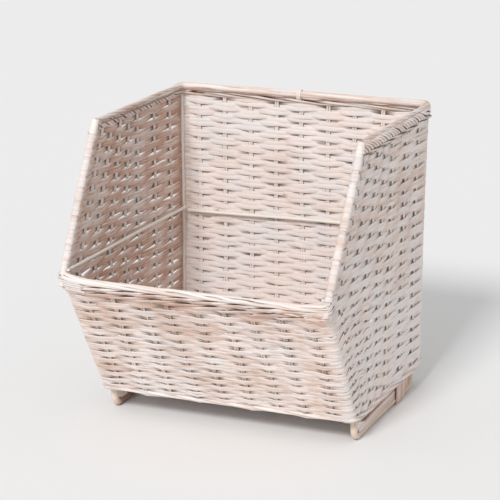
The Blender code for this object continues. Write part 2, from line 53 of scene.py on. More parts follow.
def middle(node):
    """The middle of a CAD node's box."""
    low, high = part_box(node)
    return (low + high) / 2


# Outline, read from the frame
BACK_Y = middle("weave_back").y
BASE_Z = middle("weave_base").z
RIM_HEIGHT = middle("rim_border_back").z - BASE_Z
LIP_HEIGHT = middle("lip_border").z - BASE_Z
LIP_DEPTH = BACK_Y - middle("lip_border").y
RUNNER_X = middle("runner_right").x

# Outline, as in the part
RIM_HALF = 0.175
BASE_HALF = 0.17045
TOP_DEPTH = 0.258
BASE_DEPTH = 0.260
CORNER_RADIUS = 0.009

# Stakes, each a pair of round cores
THROUGH_STAKES = 9
SIDE_STAKES = 7
OUTER_STAKE_SHARE = 0.853
BACK_STAKE_DEPTHS = (0.0389, 0.0879, 0.1406)
FAN_STEP_SHARE = 0.2
CORE_RADIUS = 0.00145
CORE_DEPTH = 0.0011
CORE_SPACING = 0.0029
CORE_SIDES = 8
CORE_STEP = 0.013
STAKE_BEND = 0.005

# Rows of the weave: how many, and how the short rows at the front turn back
FULL_ROWS = 22
SHORT_ROW_PAIRS = (8, 15)
SHORT_ROW_TURNS = (6, 5)
UPPER_ROWS = 21
UPPER_TOP = 0.3352
COLUMNS = (0, 4, 5, 6, 7, 8)
ROW_TOPS = (0.1705, 0.1705, 0.1695, 0.1675, 0.1620, 0.1515)
UPPER_BOTTOMS = (0.1705, 0.1705, 0.1695, 0.1675, 0.1645, 0.1645)
LIP_WALES = (0.1650, 0.1568)

# Weavers: two flat strands side by side in each row
FLOAT_OFFSET = 0.0018
CORNER_OFFSET = 0.0014
CORNER_TIGHT = 0.45
FLOAT_SHARE = 1.34
# For each wall: the share of the pitch that a float covers and that a crossing covers, how
# quickly it changes sides, its offset, its half thickness, how far the painted shade of its
# crevices reaches, and how dark that painted shade is on their lower half
WALLS = {
    "back": (1.46, 1.32, 2.0, 0.0016, 0.00042, 0.0180, 0.0),
    "left": (1.08, 1.01, 1.4, 0.0026, 0.0008, 0.0095, 0.7),
    "right": (1.34, 1.22, 1.8, 0.0021, 0.0006, 0.0165, 0.95),
    "front": (1.54, 1.40, 2.4, 0.0016, 0.00040, 0.0125, 0.3),
}
PLAIN_LOOKS = (FLOAT_SHARE, 1.08, 1.4, FLOAT_OFFSET, 0.00065, 0.0, 0.0)
STRAND_SHARE = 0.29
SPREAD_SHARE = 0.22
CROSSING_THICKNESS = 0.00042
STRAND_SIDES = 8
OUTER_FACE = 0.02
NEAR_STAKE_STEPS = (0.0, 0.0021, 0.0050)
WEAVE_STEP = 0.0066
FINE_STEP = 0.0065
HOOK_RADIUS = 0.0047
TURN_LENGTH = 0.0026

BACK_OUT = np.array((0.0, 1.0, 0.0))
FRONT_SLOPE = (LIP_DEPTH - BASE_DEPTH) / LIP_HEIGHT
FRONT_OUT = np.array((0.0, -1.0, -FRONT_SLOPE)) / math.hypot(1.0, FRONT_SLOPE)
DOWN = np.array((0.0, 0.0, -1.0))
FORWARD = np.array((0.0, -1.0, 0.0))
SIDE_LEAN = (RIM_HALF - BASE_HALF) / RIM_HEIGHT
SLOPE_EDGE_RUN = (LIP_DEPTH - TOP_DEPTH) / (RIM_HEIGHT - LIP_HEIGHT)
SLOPE_EDGE_OUT = np.array((0.0, -1.0, SLOPE_EDGE_RUN)) / math.hypot(1.0, SLOPE_EDGE_RUN)


def half_width(height):
    return BASE_HALF + (RIM_HALF - BASE_HALF) * height / RIM_HEIGHT


def front_edge(height):
    """Depth of the front wall, or above the lip of the sloping edge of the sides."""
    if height <= LIP_HEIGHT:
        return BASE_DEPTH + FRONT_SLOPE * height
    return LIP_DEPTH - (height - LIP_HEIGHT) * SLOPE_EDGE_RUN


def side_depth(index, height):
    """Depth of side stake 1 to 7; 8 is the front edge."""
    upright = len(BACK_STAKE_DEPTHS)
    if index <= upright:
        return BACK_STAKE_DEPTHS[index - 1]
    start = BACK_STAKE_DEPTHS[-1]
    return start + (front_edge(height) - start) * FAN_STEP_SHARE * (index - upright)


def crate_point(x, depth, height):
    return np.array((x, BACK_Y - depth, BASE_Z + height))


def unit(vectors):
    return vectors / np.maximum(np.linalg.norm(vectors, axis=-1, keepdims=True), 1e-12)


def smooth(low, high, value):
    t = np.clip((np.asarray(value, float) - low) / (high - low), 0.0, 1.0)
    return t * t * (3 - 2 * t)


# Smooth noise: how often each of its waves turns within the wavelength asked for
WAVE_FACTORS = (0.45, 0.8, 1.3, 2.1)
WAVE_SHARE = 0.6


def waves(along, length, wavelength, size):
    """Smooth noise that fits a whole number of times into the length."""
    total = np.zeros_like(along)
    for factor in WAVE_FACTORS:
        turns = max(1, round(length / wavelength * factor))
        total += rng.normal() * np.cos(2 * math.pi * (turns * along / length + rng.random()))
    return total * size * WAVE_SHARE


def ring_angles(count):
    return np.arange(count) * 2 * math.pi / count


def lengths_along(points):
    """How far along a polyline each of its points lies."""
    steps = np.linalg.norm(np.diff(points, axis=0), axis=1)
    return np.concatenate(([0.0], np.cumsum(steps)))


# Over how many steps the dark creases of a strand fade at its ends
END_FADE_STEPS = 3


def fade_at_ends(count):
    """1 along a strand, and down to 0 at its two ends."""
    steps_in = np.arange(count)
    return np.clip(np.minimum(steps_in, steps_in[::-1]) / END_FADE_STEPS, 0, 1)[:, None]


# How a hand-woven crate departs from its true shape. Its lower edges sag, its walls wave, and
# its left wall stands wider at the rear. Each pair is a range in which an effect sets in
FRONT_SAG = 0.0006
FRONT_SAG_DEPTHS = (0.12, BASE_DEPTH)
FRONT_SAG_HEIGHTS = (-0.01, LIP_HEIGHT)
SIDE_SAG = 0.0040
SIDE_SAG_REAR = (0, 0.04)
SIDE_SAG_FRONT = (BASE_DEPTH - 0.045, BASE_DEPTH)
SIDE_SAG_ACROSS = (0.90, 1.0)
ABOVE_FEET = (-0.016, -0.006)
ABOVE_SAG = (0, 0.03)
WALL_WANDER = 0.0011
SIDE_WANDER_TURNS = (21, 17)
SIDE_WANDER_PHASE = 0.6
BACK_WANDER_TURNS = (19, 15)
BACK_WANDER_PHASES = (1.0, 0.4)
LEFT_REAR_TOP = 0.0008
LEFT_REAR_SPREAD = 0.0052
LEFT_REAR_HEIGHTS = (0.0, 0.06)
LEFT_REAR_ACROSS = (0.2, 1.0)
LEFT_REAR_DEPTHS = (0.06, 0.24)


def settle(points):
    """Moves points as a hand-woven wall wanders from its true shape."""
    moved = points.copy()
    across = points[..., 0] / BASE_HALF
    depth = BACK_Y - points[..., 1]
    height = points[..., 2] - BASE_Z
    near_front = smooth(*FRONT_SAG_DEPTHS, depth)
    low = 1 - smooth(*FRONT_SAG_HEIGHTS, height)
    moved[..., 2] -= FRONT_SAG * near_front * low * (1 - np.clip(np.abs(across), 0, 1) ** 2)
    between = smooth(*SIDE_SAG_REAR, depth) * (1 - smooth(*SIDE_SAG_FRONT, depth))
    sagging = smooth(*ABOVE_FEET, height) * (1 - smooth(*ABOVE_SAG, height))
    moved[..., 2] -= SIDE_SAG * between * smooth(*SIDE_SAG_ACROSS, np.abs(across)) * sagging
    turns, upwards = SIDE_WANDER_TURNS
    forwards = np.sin(depth * turns + SIDE_WANDER_PHASE)
    moved[..., 0] += WALL_WANDER * forwards * np.sin(height * upwards + across)
    outward = LEFT_REAR_TOP + LEFT_REAR_SPREAD * (1 - height / RIM_HEIGHT)
    outward = outward * smooth(*LEFT_REAR_HEIGHTS, height)
    moved[..., 0] -= outward * smooth(*LEFT_REAR_ACROSS, -across) * (1 - smooth(*LEFT_REAR_DEPTHS, depth))
    turns, upwards = BACK_WANDER_TURNS
    phase, upward_phase = BACK_WANDER_PHASES
    sideways = np.sin(points[..., 0] * turns + phase)
    moved[..., 1] += WALL_WANDER * sideways * np.sin(height * upwards + upward_phase)
    return moved


class Strands:
    """Tubes gathered into one mesh, with the values that its material reads."""

    def __init__(self):
        self.points, self.bare, self.tone, self.groove, self.crease = [], [], [], [], []
        self.quads, self.uvs, self.caps = [], [], []
        self.count = 0

    def add(
        self, centre, out, half, thick, bare, tone=None, closed=False,
        sides=STRAND_SIDES, flat=1.0, groove=None, crease=None,
    ):
        """One tube: half is its half width across, thick its half thickness along out.

        Below 1, flat squares its section off. groove is the distance to a stake, on the face
        that lies against it, where the material paints shade, and crease is how dark the painted
        shade in a crevice is.
        """
        n = len(centre)
        if closed:
            ahead = np.roll(centre, -1, 0) - np.roll(centre, 1, 0)
        else:
            ahead = np.gradient(centre, axis=0)
        tangent = unit(ahead)
        out = unit(out - tangent * np.sum(out * tangent, -1, keepdims=True))
        across = np.cross(tangent, out)
        angle = ring_angles(sides)
        half = np.broadcast_to(half, n)
        thick = np.broadcast_to(thick, n)
        wide = np.sign(np.cos(angle)) * np.abs(np.cos(angle)) ** flat
        deep = np.sign(np.sin(angle)) * np.abs(np.sin(angle)) ** flat
        ring = centre[:, None] + across[:, None] * (half[:, None] * wide)[..., None]
        ring = ring + out[:, None] * (thick[:, None] * deep)[..., None]
        bare = np.asarray(bare, float)
        bare = bare if bare.ndim == 2 else np.broadcast_to(bare, n)[:, None]
        tone = rng.random() if tone is None else tone
        self.points.append(ring.reshape(-1, 3))
        self.bare.append(np.broadcast_to(bare, (n, sides)).reshape(-1))
        self.tone.append(np.full(n * sides, tone))
        groove = np.full((n, sides), OUTER_FACE) if groove is None else groove
        self.groove.append(groove.reshape(-1))
        crease = np.zeros((n, sides)) if crease is None else crease
        self.crease.append(crease.reshape(-1))
        self.add_faces(centre, n, sides, closed)
        self.count += n * sides

    def add_faces(self, centre, n, sides, closed):
        rings = np.arange(n if closed else n - 1)[:, None]
        side = np.arange(sides)[None, :]
        nearer, later = side, (side + 1) % sides
        following = (rings + 1) % n
        corners = [rings * sides + nearer, following * sides + nearer]
        corners += [following * sides + later, rings * sides + later]
        quads = np.stack(corners, -1).reshape(-1, 4) + self.count
        steps = np.linalg.norm(np.roll(centre, -1, 0) - centre, axis=1)
        length = np.concatenate(([0.0], np.cumsum(steps)))
        u0, u1 = length[rings], length[rings + 1]
        v0, v1 = side / sides, (side + 1) / sides
        u = np.stack(np.broadcast_arrays(u0, u1, u1, u0), -1)
        v = np.stack(np.broadcast_arrays(v0, v0, v1, v1), -1)
        u, v = np.broadcast_arrays(u, v)
        self.quads.append(quads)
        self.uvs.append(np.stack((u, v), -1).reshape(-1, 2))
        if not closed:
            first = self.count + np.arange(sides)[::-1]
            last = self.count + (n - 1) * sides + np.arange(sides)
            self.caps += [first, last]

    def build(self, name, material, replaced):
        """Makes the object and hands it to the frame."""
        mesh = bpy.data.meshes.new(name)
        points = settle(np.concatenate(self.points))
        quads = np.concatenate(self.quads)
        cap_sizes = [len(cap) for cap in self.caps]
        loops = np.concatenate([quads.reshape(-1)] + self.caps)
        sizes = np.concatenate((np.full(len(quads), 4), np.array(cap_sizes, int)))
        mesh.vertices.add(len(points))
        mesh.vertices.foreach_set("co", points.astype(np.float32).reshape(-1))
        mesh.loops.add(len(loops))
        mesh.loops.foreach_set("vertex_index", loops.astype(np.int32))
        mesh.polygons.add(len(sizes))
        starts = np.concatenate(([0], np.cumsum(sizes)[:-1]))
        mesh.polygons.foreach_set("loop_start", starts.astype(np.int32))
        mesh.update(calc_edges=True)
        uv = np.zeros((len(loops), 2), np.float32)
        uv[: len(quads) * 4] = np.concatenate(self.uvs)
        mesh.uv_layers.new(name="strand").data.foreach_set("uv", uv.reshape(-1))
        for label in ("bare", "tone", "groove", "crease"):
            layer = mesh.attributes.new(label, "FLOAT", "POINT")
            layer.data.foreach_set("value", np.concatenate(getattr(self, label)).astype(np.float32))
        mesh.shade_smooth()
        mesh.materials.append(material)
        piece = bpy.data.objects.new(name, mesh)
        bpy.context.scene.collection.objects.link(piece)
        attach(piece, "root")
        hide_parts(*replaced)


class Knot:
    """A point that a weaver passes: beside a stake, on a corner or at a turn."""

    def __init__(self, base, out, offset, tight, pitch, stake=False, looks=PLAIN_LOOKS):
        self.base, self.out, self.offset = base, out, offset
        self.tight, self.pitch, self.stake = tight, pitch, stake
        self.looks = looks
        self.share, self.crossing, self.swing, _, self.thick, self.crevice, self.lower = looks

    def turned_over(self):
        return Knot(self.base, -self.out, -self.offset, self.tight, self.pitch, self.stake, self.looks)


def interval_steps(length, first, second):
    """Places of the samples between two knots, closer together beside a stake."""
    near_first = NEAR_STAKE_STEPS if first.stake else (0.0,)
    near_second = NEAR_STAKE_STEPS[1:] if second.stake else ()
    start, end = near_first[-1], length - (near_second[-1] if near_second else 0.0)
    count = max(1, round((end - start) / WEAVE_STEP))
    inner = [start + (end - start) * k / count for k in range(1, count)]
    tail = [end] if near_second else []
    tail += [length - step for step in reversed(near_second[:-1])]
    return np.array(list(near_first) + inner + tail) / length


# How bare of whitewash a strand is: at its edges, where rows cross, on its hidden face, on each face
# of the walls, with more paint on the hooks. Bare rattan shows tan and brown, and this also carries
# painted light and shade: edges, crossings and hidden faces are darkened partly as painted shade of
# the recesses; the inner faces of the side walls, the outer faces of the sides and of the front, and
# the front under the lip get painted shade; the top edges of the side walls' floats get a painted
# highlight, and the low walls are painted lighter as painted light
EDGE_BARE_AND_SHADE = 0.10
CROSSING_BARE_AND_SHADE = 0.12
HIDDEN_BARE_AND_SHADE = 0.25
INNER_SIDE_BARE_AND_SHADE = 0.72
OUTER_BARE = 0.14
OUTER_SIDE_SHADE = 1.7
FRONT_SHADE = 0.44
UNDER_LIP_SHADE = 0.40
BACK_LOW_LIGHT = 0.42
LOW_SIDE_LIGHT = 0.68
LEDGE_HIGHLIGHT = 1.0
HOOK_PAINT = 0.45

# How dark the painted shade in the crevices beside the stakes, round the hooks and in the slits is, and how
# far it reaches
HOOK_SHADE = 0.09
ONE_SIDED = 0.85
UNDER_LIP_DARK = 0.8
UNDER_LIP_REACH = 0.004
LOW_SIDE_REACH = -0.0025
CREVICE_FADE = (0.45, 1.0)
CREVICE_STRENGTH = 0.85
CREVICE_LIMITS = (0.25, 1.1)
LEAST_REACH = 1e-6
SLIT_RANGE = (0.0, 0.9)
SLIT_DARK = 0.8

# Where those looks apply
INSIDE = np.array((0.0, BACK_Y - BASE_DEPTH / 2))
EDGE_DEPTHS = (0.013, 0.006)
EDGE_BELOW_LIP = 0.004
UNDER_LIP_HEIGHTS = (0.125, 0.160)
LOW_SIDE_HEIGHTS = (0.06, 0.20)
RIGHT_OF_MIDDLE = 50
HIDDEN_FACE = 0.3
UPWARDS = 0.2
FAR_FROM_STAKES = 1.0
TIGHT_SHARES = (0.26, 0.50)

# Wavelength and size of what varies along a row
HEIGHT_WAVES = (0.10, 0.05)
ROW_WAVES = (0.13, 0.0005)
STRAND_WAVES = (0.07, 0.00035)
DEPTH_WAVES = (0.09, 0.00022)
WIDTH_WAVES = (0.06, 0.05)
THICKNESS_WAVES = (0.08, 0.06)
CREVICE_WAVES = (0.035, 0.22)
SLIT_WAVES = (0.06, 0.9)
CROSSING_SPLIT = 0.0003
FLATNESS = 0.7

# How a strand lies on the two cores of a stake
DIP_DEPTH = 0.00022
DIP_REACH = 0.0010
BULGE_HEIGHT = 0.00010
BULGE_PLACE = 0.0019
BULGE_REACH = 0.0012


def press(distance):
    """How the strand rides up over the two cores of a stake, with a dip between them."""
    dip = -DIP_DEPTH * np.exp(-((distance / DIP_REACH) ** 2))
    return dip + BULGE_HEIGHT * np.exp(-(((distance - BULGE_PLACE) / BULGE_REACH) ** 2))


def mostly(component):
    """1 where a direction's component is 1, down to 0 where it is a half."""
    return np.clip(component * 2 - 1, 0, 1)


def spread(knots, closed):
    """Samples along a weaver: base, out, offset, tightness, pitch, distance to a stake, its looks,
    and whether it is nearer to the next stake than to the last.
    """
    rows = []
    pairs = zip(knots, knots[1:] + knots[:1]) if closed else zip(knots, knots[1:])
    for first, second in pairs:
        length = float(np.linalg.norm(second.base - first.base))
        if length < FINE_STEP:
            t = np.array([0.0])
        else:
            t = interval_steps(length, first, second)
        swing = max(first.swing, second.swing)
        turn = 0.5 - 0.5 * np.sign(1 - 2 * t) * np.abs(1 - 2 * t) ** swing
        offset = first.offset + (second.offset - first.offset) * turn
        tight = first.tight + (second.tight - first.tight) * turn
        if first.stake and second.stake and first.offset * second.offset < 0:
            tight = smooth(*TIGHT_SHARES, np.minimum(t, 1 - t))
        near = np.full(len(t), FAR_FROM_STAKES)
        near = np.minimum(near, t * length) if first.stake else near
        near = np.minimum(near, (1 - t) * length) if second.stake else near
        for k, part in enumerate(t):
            base = first.base + (second.base - first.base) * part
            out = first.out + (second.out - first.out) * part
            pitch = first.pitch + (second.pitch - first.pitch) * part
            rest = []
            for name in ("share", "crossing", "thick", "crevice", "lower"):
                value = getattr(first, name)
                rest.append(value + (getattr(second, name) - value) * part)
            rows.append((*base, *out, offset[k], tight[k], pitch, near[k], *rest, float(part > 0.5)))
    if not closed:
        last = knots[-1]
        near = 0.0 if last.stake else FAR_FROM_STAKES
        rest = (last.share, last.crossing, last.thick, last.crevice, last.lower, 0.0)
        rows.append((*last.base, *last.out, last.offset, last.tight, last.pitch, near, *rest))
    table = np.array(rows)
    return table[:, 0:3], unit(table[:, 3:6]), *table[:, 6:].T


def lay_row(strands, knots, closed, bareness=0.0, hands=(-1, 1)):
    """Flat strands side by side, that widen where they float and bunch where they cross."""
    base, out, offset, tight, pitch, near, *looks = spread(knots, closed)
    share, crossing, thick, crevice, lower, later = looks
    side = np.sign(offset)
    lift = np.abs(offset) / FLOAT_OFFSET
    reach = offset + side * press(near) * lift
    centre = base + out * reach[:, None]
    steps = np.linalg.norm(np.diff(centre, axis=0, append=centre[:1]), axis=1)
    length = steps.sum() if closed else steps[:-1].sum()
    along = np.concatenate(([0.0], np.cumsum(steps[:-1])))
    ahead = np.roll(centre, -1, 0) - np.roll(centre, 1, 0) if closed else np.gradient(centre, axis=0)
    across = unit(np.cross(unit(ahead), out))
    share = share + (crossing - share) * tight
    height = pitch * share * (1 + waves(along, length, *HEIGHT_WAVES))
    wander = waves(along, length, *ROW_WAVES)
    thick = thick + (CROSSING_THICKNESS - thick) * tight
    row_tone = rng.random()

    cos, sin = np.cos(ring_angles(STRAND_SIDES)), np.sin(ring_angles(STRAND_SIDES))
    inside, outside, edge = np.clip(-sin, 0, 1), np.clip(sin, 0, 1), np.abs(cos) ** 3
    hidden = np.where(side[:, None] > 0, inside[None], outside[None])
    facing = np.sign(np.sum(out[:, :2] * (base[:, :2] - INSIDE), -1))
    outer = np.where(facing[:, None] > 0, outside[None], inside[None])
    inner = np.where(facing[:, None] > 0, inside[None], outside[None])
    on_side, on_front = mostly(np.abs(out[:, 0])), mostly(-out[:, 1] * facing)
    at_back = mostly(out[:, 1] * facing)
    height_above = base[:, 2] - BASE_Z
    slope_depth = LIP_DEPTH - (height_above - LIP_HEIGHT) * SLOPE_EDGE_RUN
    at_edge = smooth(*EDGE_DEPTHS, slope_depth - (BACK_Y - base[:, 1]))
    at_edge = at_edge * (height_above > LIP_HEIGHT - EDGE_BELOW_LIP)
    # The front just under the lip gets painted shade, as in the lip's shadow
    shaded_under_lip = on_front * smooth(*UNDER_LIP_HEIGHTS, height_above)
    low_side = on_side * (1 - smooth(*LOW_SIDE_HEIGHTS, height_above))
    # The painted crevice shade reaches further under the lip and less far low on the sides
    crevice = crevice + UNDER_LIP_REACH * shaded_under_lip + LOW_SIDE_REACH * low_side
    fading = 1 - smooth(*CREVICE_FADE, near / np.maximum(crevice, LEAST_REACH))
    on_right = np.clip(base[:, 0] * RIGHT_OF_MIDDLE, 0, 1)
    ahead_of_stake = 1 - ONE_SIDED * on_right * on_side * later

    # Edges, crossings and hidden faces are darkened partly as painted shade of the recesses
    wear_and_painted_light = bareness + EDGE_BARE_AND_SHADE * edge[None] + CROSSING_BARE_AND_SHADE * tight[:, None]
    wear_and_painted_light = wear_and_painted_light + hidden * np.clip(lift, 0, 1)[:, None] * HIDDEN_BARE_AND_SHADE
    # The inner faces of the side walls and the outer faces of the sides are darkened partly as painted shade
    wear_and_painted_light = wear_and_painted_light + INNER_SIDE_BARE_AND_SHADE * inner * on_side[:, None]
    wear_and_painted_light = wear_and_painted_light + OUTER_BARE * outer * (1 + OUTER_SIDE_SHADE * on_side[:, None])
    # The front's outer face is darkened as painted shade, more so under the lip
    wear_and_painted_light = wear_and_painted_light + FRONT_SHADE * outer * on_front[:, None] + UNDER_LIP_SHADE * outer * shaded_under_lip[:, None]
    # Painted light: the low outer faces of the sides and the lower back are painted whiter
    wear_and_painted_light = wear_and_painted_light - LOW_SIDE_LIGHT * outer * low_side[:, None]
    wear_and_painted_light = wear_and_painted_light - BACK_LOW_LIGHT * (at_back * (height_above < LIP_HEIGHT))[:, None]
    top_edge = np.clip(cos[None] * np.sign(across[:, 2:3]), 0, 1) ** 2
    strand_share = STRAND_SHARE if len(hands) > 1 else 0.5
    for hand in hands:
        shift = hand * SPREAD_SHARE * height + wander + waves(along, length, *STRAND_WAVES)
        depth = waves(along, length, *DEPTH_WAVES) + hand * tight * CROSSING_SPLIT
        half = strand_share * height * (1 + waves(along, length, *WIDTH_WAVES))
        is_upper = (hand * across[:, 2] > UPWARDS) * 1.0
        # A painted highlight: the top edges of the side walls' floats are painted white where light catches
        # them
        ledge_highlight = top_edge * is_upper[:, None] * (on_side * (1 - tight))[:, None]
        bare = wear_and_painted_light - LEDGE_HIGHLIGHT * ledge_highlight - HOOK_PAINT * at_edge[:, None]
        if len(hands) > 1:
            # Painted shade in the crevices beside the stakes, darker below a float, and round the hooks
            strength = np.clip(CREVICE_STRENGTH + waves(along, length, *CREVICE_WAVES), *CREVICE_LIMITS)
            both = is_upper + (1 - is_upper) * np.maximum(lower, UNDER_LIP_DARK * shaded_under_lip)
            crease = (hidden > HIDDEN_FACE) * (fading * strength * ahead_of_stake * both)[:, None]
            crease = np.maximum(crease, HOOK_SHADE * at_edge[:, None])
        else:
            # The wale's slits and hidden faces are darkened as painted shadow
            slits = smooth(*SLIT_RANGE, waves(along, length, *SLIT_WAVES))
            crease = np.abs(cos[None]) ** 4 * slits[:, None] * SLIT_DARK + (hidden > HIDDEN_FACE) * SLIT_DARK
            crease = crease * fade_at_ends(len(slits))
        # groove marks the hidden face beside a stake, which the material darkens as painted shade
        groove = np.where(hidden > HIDDEN_FACE, np.minimum(near, OUTER_FACE)[:, None], OUTER_FACE)
        line = centre + across * shift[:, None] + out * depth[:, None]
        tone = np.clip(row_tone * 0.5 + rng.random() * 0.5, 0, 1)
        uneven = thick * (1 + waves(along, length, *THICKNESS_WAVES))
        strands.add(
            line, out, half, uneven, bare, tone, closed, flat=FLATNESS, groove=groove, crease=crease
        )


# How far the through stakes stand out of line, at the back and at the front
BACK_WANDER = 0.0012
BACK_LEAN_TURNS = (2.4, 0.7, 13)
BACK_CROOK_TURNS = 4.1
FRONT_WANDER = 0.0014
FRONT_CROOK_TURNS = (40, 2.1)
CROOKED_DEPTHS = (BASE_DEPTH * 0.6, BASE_DEPTH)
MIDDLE_STAKE = 4


def through_x(index, height, depth=0.0):
    straight = half_width(height) * OUTER_STAKE_SHARE * (index - MIDDLE_STAKE) / MIDDLE_STAKE
    turns, phase, upwards = BACK_LEAN_TURNS
    leaning = BACK_WANDER * math.sin(index * turns + phase) * math.sin(height * upwards + index)
    upwards, turns = FRONT_CROOK_TURNS
    crooked = FRONT_WANDER * math.sin(height * upwards + index * turns)
    crooked += BACK_WANDER * math.sin(index * BACK_CROOK_TURNS)
    return straight + leaning + crooked * float(smooth(*CROOKED_DEPTHS, depth))


def side_out(sign):
    return unit(np.array((sign, 0.0, -SIDE_LEAN)))


def stop_geometry(kind, sign, value, height):
    """Point on the middle of the wall, and the direction out of it."""
    half, front = half_width(height), front_edge(height)
    if kind == "back":
        return crate_point(through_x(value, height), 0.0, height), BACK_OUT
    if kind == "front":
        return crate_point(through_x(value, height, front), front, height), FRONT_OUT
    if kind == "side":
        return crate_point(sign * half, side_depth(value, height), height), side_out(sign)
    rounded = CORNER_RADIUS
    turn = math.radians(value)
    x = sign * (half - rounded + rounded * math.sin(turn))
    if kind == "back_corner":
        out = unit(BACK_OUT * math.cos(turn) + side_out(sign) * math.sin(turn))
        return crate_point(x, rounded * (1 - math.cos(turn)), height), out
    out = unit(FRONT_OUT * math.cos(turn) + side_out(sign) * math.sin(turn))
    return crate_point(x, front - rounded * (1 - math.cos(turn)), height), out


CORNER_TURNS = (0, 25, 45, 65, 90)


def side_stops(sign, indices):
    return [("side", sign, index) for index in indices]


def corner_stops(kind, sign, turns):
    return [(kind, sign, turn) for turn in turns]


# Columns: 0 at the back wall, 1 to 7 along a side, 8 at the front wall
WALL_COLUMNS = {"back": 0, "back_corner": 0.4, "front_corner": 7.7, "front": 8}


def column_of(stop):
    kind, _, value = stop
    return WALL_COLUMNS.get(kind, value)


def order_of(stop):
    """The stake's number round the crate, which says on which side each row passes it.

    0 to 8 are at the back, 9 to 15 down the right side, 16 to 24 across the front from the right
    and 25 to 31 up the left side.
    """
    kind, sign, value = stop
    if kind == "back":
        return value
    if kind == "side":
        return 8 + value if sign > 0 else 32 - value
    return 24 - value


BACK_STOPS = [("back", 0, k) for k in range(THROUGH_STAKES)]
FRONT_STOPS = [("front", 0, k) for k in reversed(range(THROUGH_STAKES))]
DOWN_SIDE = tuple(range(1, SIDE_STAKES + 1))
UP_SIDE = tuple(reversed(DOWN_SIDE))
AWAY_TURNS = tuple(reversed(CORNER_TURNS))
RING_STOPS = (
    BACK_STOPS
    + corner_stops("back_corner", 1, CORNER_TURNS)
    + side_stops(1, DOWN_SIDE)
    + corner_stops("front_corner", 1, AWAY_TURNS)
    + FRONT_STOPS
    + corner_stops("front_corner", -1, CORNER_TURNS)
    + side_stops(-1, UP_SIDE)
    + corner_stops("back_corner", -1, AWAY_TURNS)
)


def row_list():
    """For each row at the front, the number of its short pair, or None for a full row."""
    rows = []
    for full in range(FULL_ROWS):
        for pair, place in enumerate(SHORT_ROW_PAIRS):
            if full == place:
                rows += [pair, pair]
        rows.append(None)
    return rows


LOWER_ROWS = row_list()
ROWS_NEAR_BASE = 13
FRONT_PACKING = 0.15
PACKED_COLUMNS = (4, 8)


def row_place(row, column):
    """Height and pitch of a lower row at a column; short rows thin out towards their turn."""
    weights = []
    for pair in LOWER_ROWS:
        turn = SHORT_ROW_TURNS[pair] if pair is not None else 0
        weights.append(1.0 if pair is None else min(max((column - turn + 1) / 2, 0.0), 1.0))
    top = np.interp(column, COLUMNS, ROW_TOPS)
    share = (sum(weights[:row]) + weights[row] / 2) / sum(weights)
    packed = FRONT_PACKING * float(smooth(*PACKED_COLUMNS, column))
    height = top * (share - packed * share * (1 - share))
    return height, top / sum(weights) * (1 - packed + 2 * packed * share)


def upper_row_place(row, column):
    """The same for the rows above the lip, which are numbered on from the full rows."""
    bottom = np.interp(column, COLUMNS, UPPER_BOTTOMS)
    pitch = (UPPER_TOP - bottom) / UPPER_ROWS
    return bottom + pitch * (row - FULL_ROWS + 0.5), pitch


def side_of(row, stop):
    return 1 if (row + order_of(stop)) % 2 else -1


def knot_at(stop, row, place):
    height, pitch = place(row, column_of(stop))
    base, out = stop_geometry(*stop, height)
    if "corner" in stop[0]:
        return Knot(base, out, CORNER_OFFSET, CORNER_TIGHT, pitch)
    looks = wall_looks(stop)
    return Knot(base, out, looks[3] * side_of(row, stop), 0.0, pitch, True, looks)


# The painted crevice shade of the front reaches further and is darker towards its left end
LEFT_CREVICE = 0.0045
LEFT_LOWER = 0.6


def wall_looks(stop):
    kind, sign, value = stop
    if kind == "side":
        return WALLS["right" if sign > 0 else "left"]
    if kind == "back":
        return WALLS["back"]
    *looks, crevice, lower = WALLS["front"]
    towards_left = 1 - value / (THROUGH_STAKES - 1)
    return *looks, crevice + LEFT_CREVICE * towards_left, lower + LEFT_LOWER * towards_left


def lay_lower_rows(strands, rows):
    for row in rows:
        pair = LOWER_ROWS[row]
        if pair is None:
            knots = [knot_at(stop, row, row_place) for stop in RING_STOPS]
            lay_row(strands, knots, closed=True)
        elif LOWER_ROWS[row - 1] != pair:
            lay_row(strands, short_row_loop(row, SHORT_ROW_TURNS[pair]), closed=True)


TURN_ANGLES = (0, 45, 90, 135, 180)
TURN_TIGHT = 0.6


def turn_back(row, other, stop):
    """Round a side stake, from one short row to the next."""
    side = side_of(row, stop)
    height, pitch = row_place(row, column_of(stop))
    other_height, _ = row_place(other, column_of(stop))
    knots = []
    for turn in TURN_ANGLES:
        angle = math.radians(turn)
        base, out = stop_geometry(*stop, height + (other_height - height) * turn / TURN_ANGLES[-1])
        base = base - FORWARD * TURN_LENGTH * math.sin(angle)
        out = unit(math.cos(angle) * out - side * math.sin(angle) * FORWARD)
        knots.append(Knot(base, out, FLOAT_OFFSET * side, TURN_TIGHT, pitch))
    return knots


def short_row_loop(row, turn):
    """A pair of short rows across the front, which turn back round a stake of each side."""
    near = [index for index in DOWN_SIDE if index > turn]
    stops = (
        side_stops(1, near)
        + corner_stops("front_corner", 1, AWAY_TURNS)
        + FRONT_STOPS
        + corner_stops("front_corner", -1, CORNER_TURNS)
        + side_stops(-1, reversed(near))
    )
    first = [knot_at(stop, row, row_place) for stop in stops]
    left_turn = turn_back(row, row + 1, ("side", -1, turn))
    second = [knot_at(stop, row + 1, row_place).turned_over() for stop in reversed(stops)]
    right_turn = [k.turned_over() for k in turn_back(row + 1, row, ("side", 1, turn))]
    return first + left_turn + second + right_turn


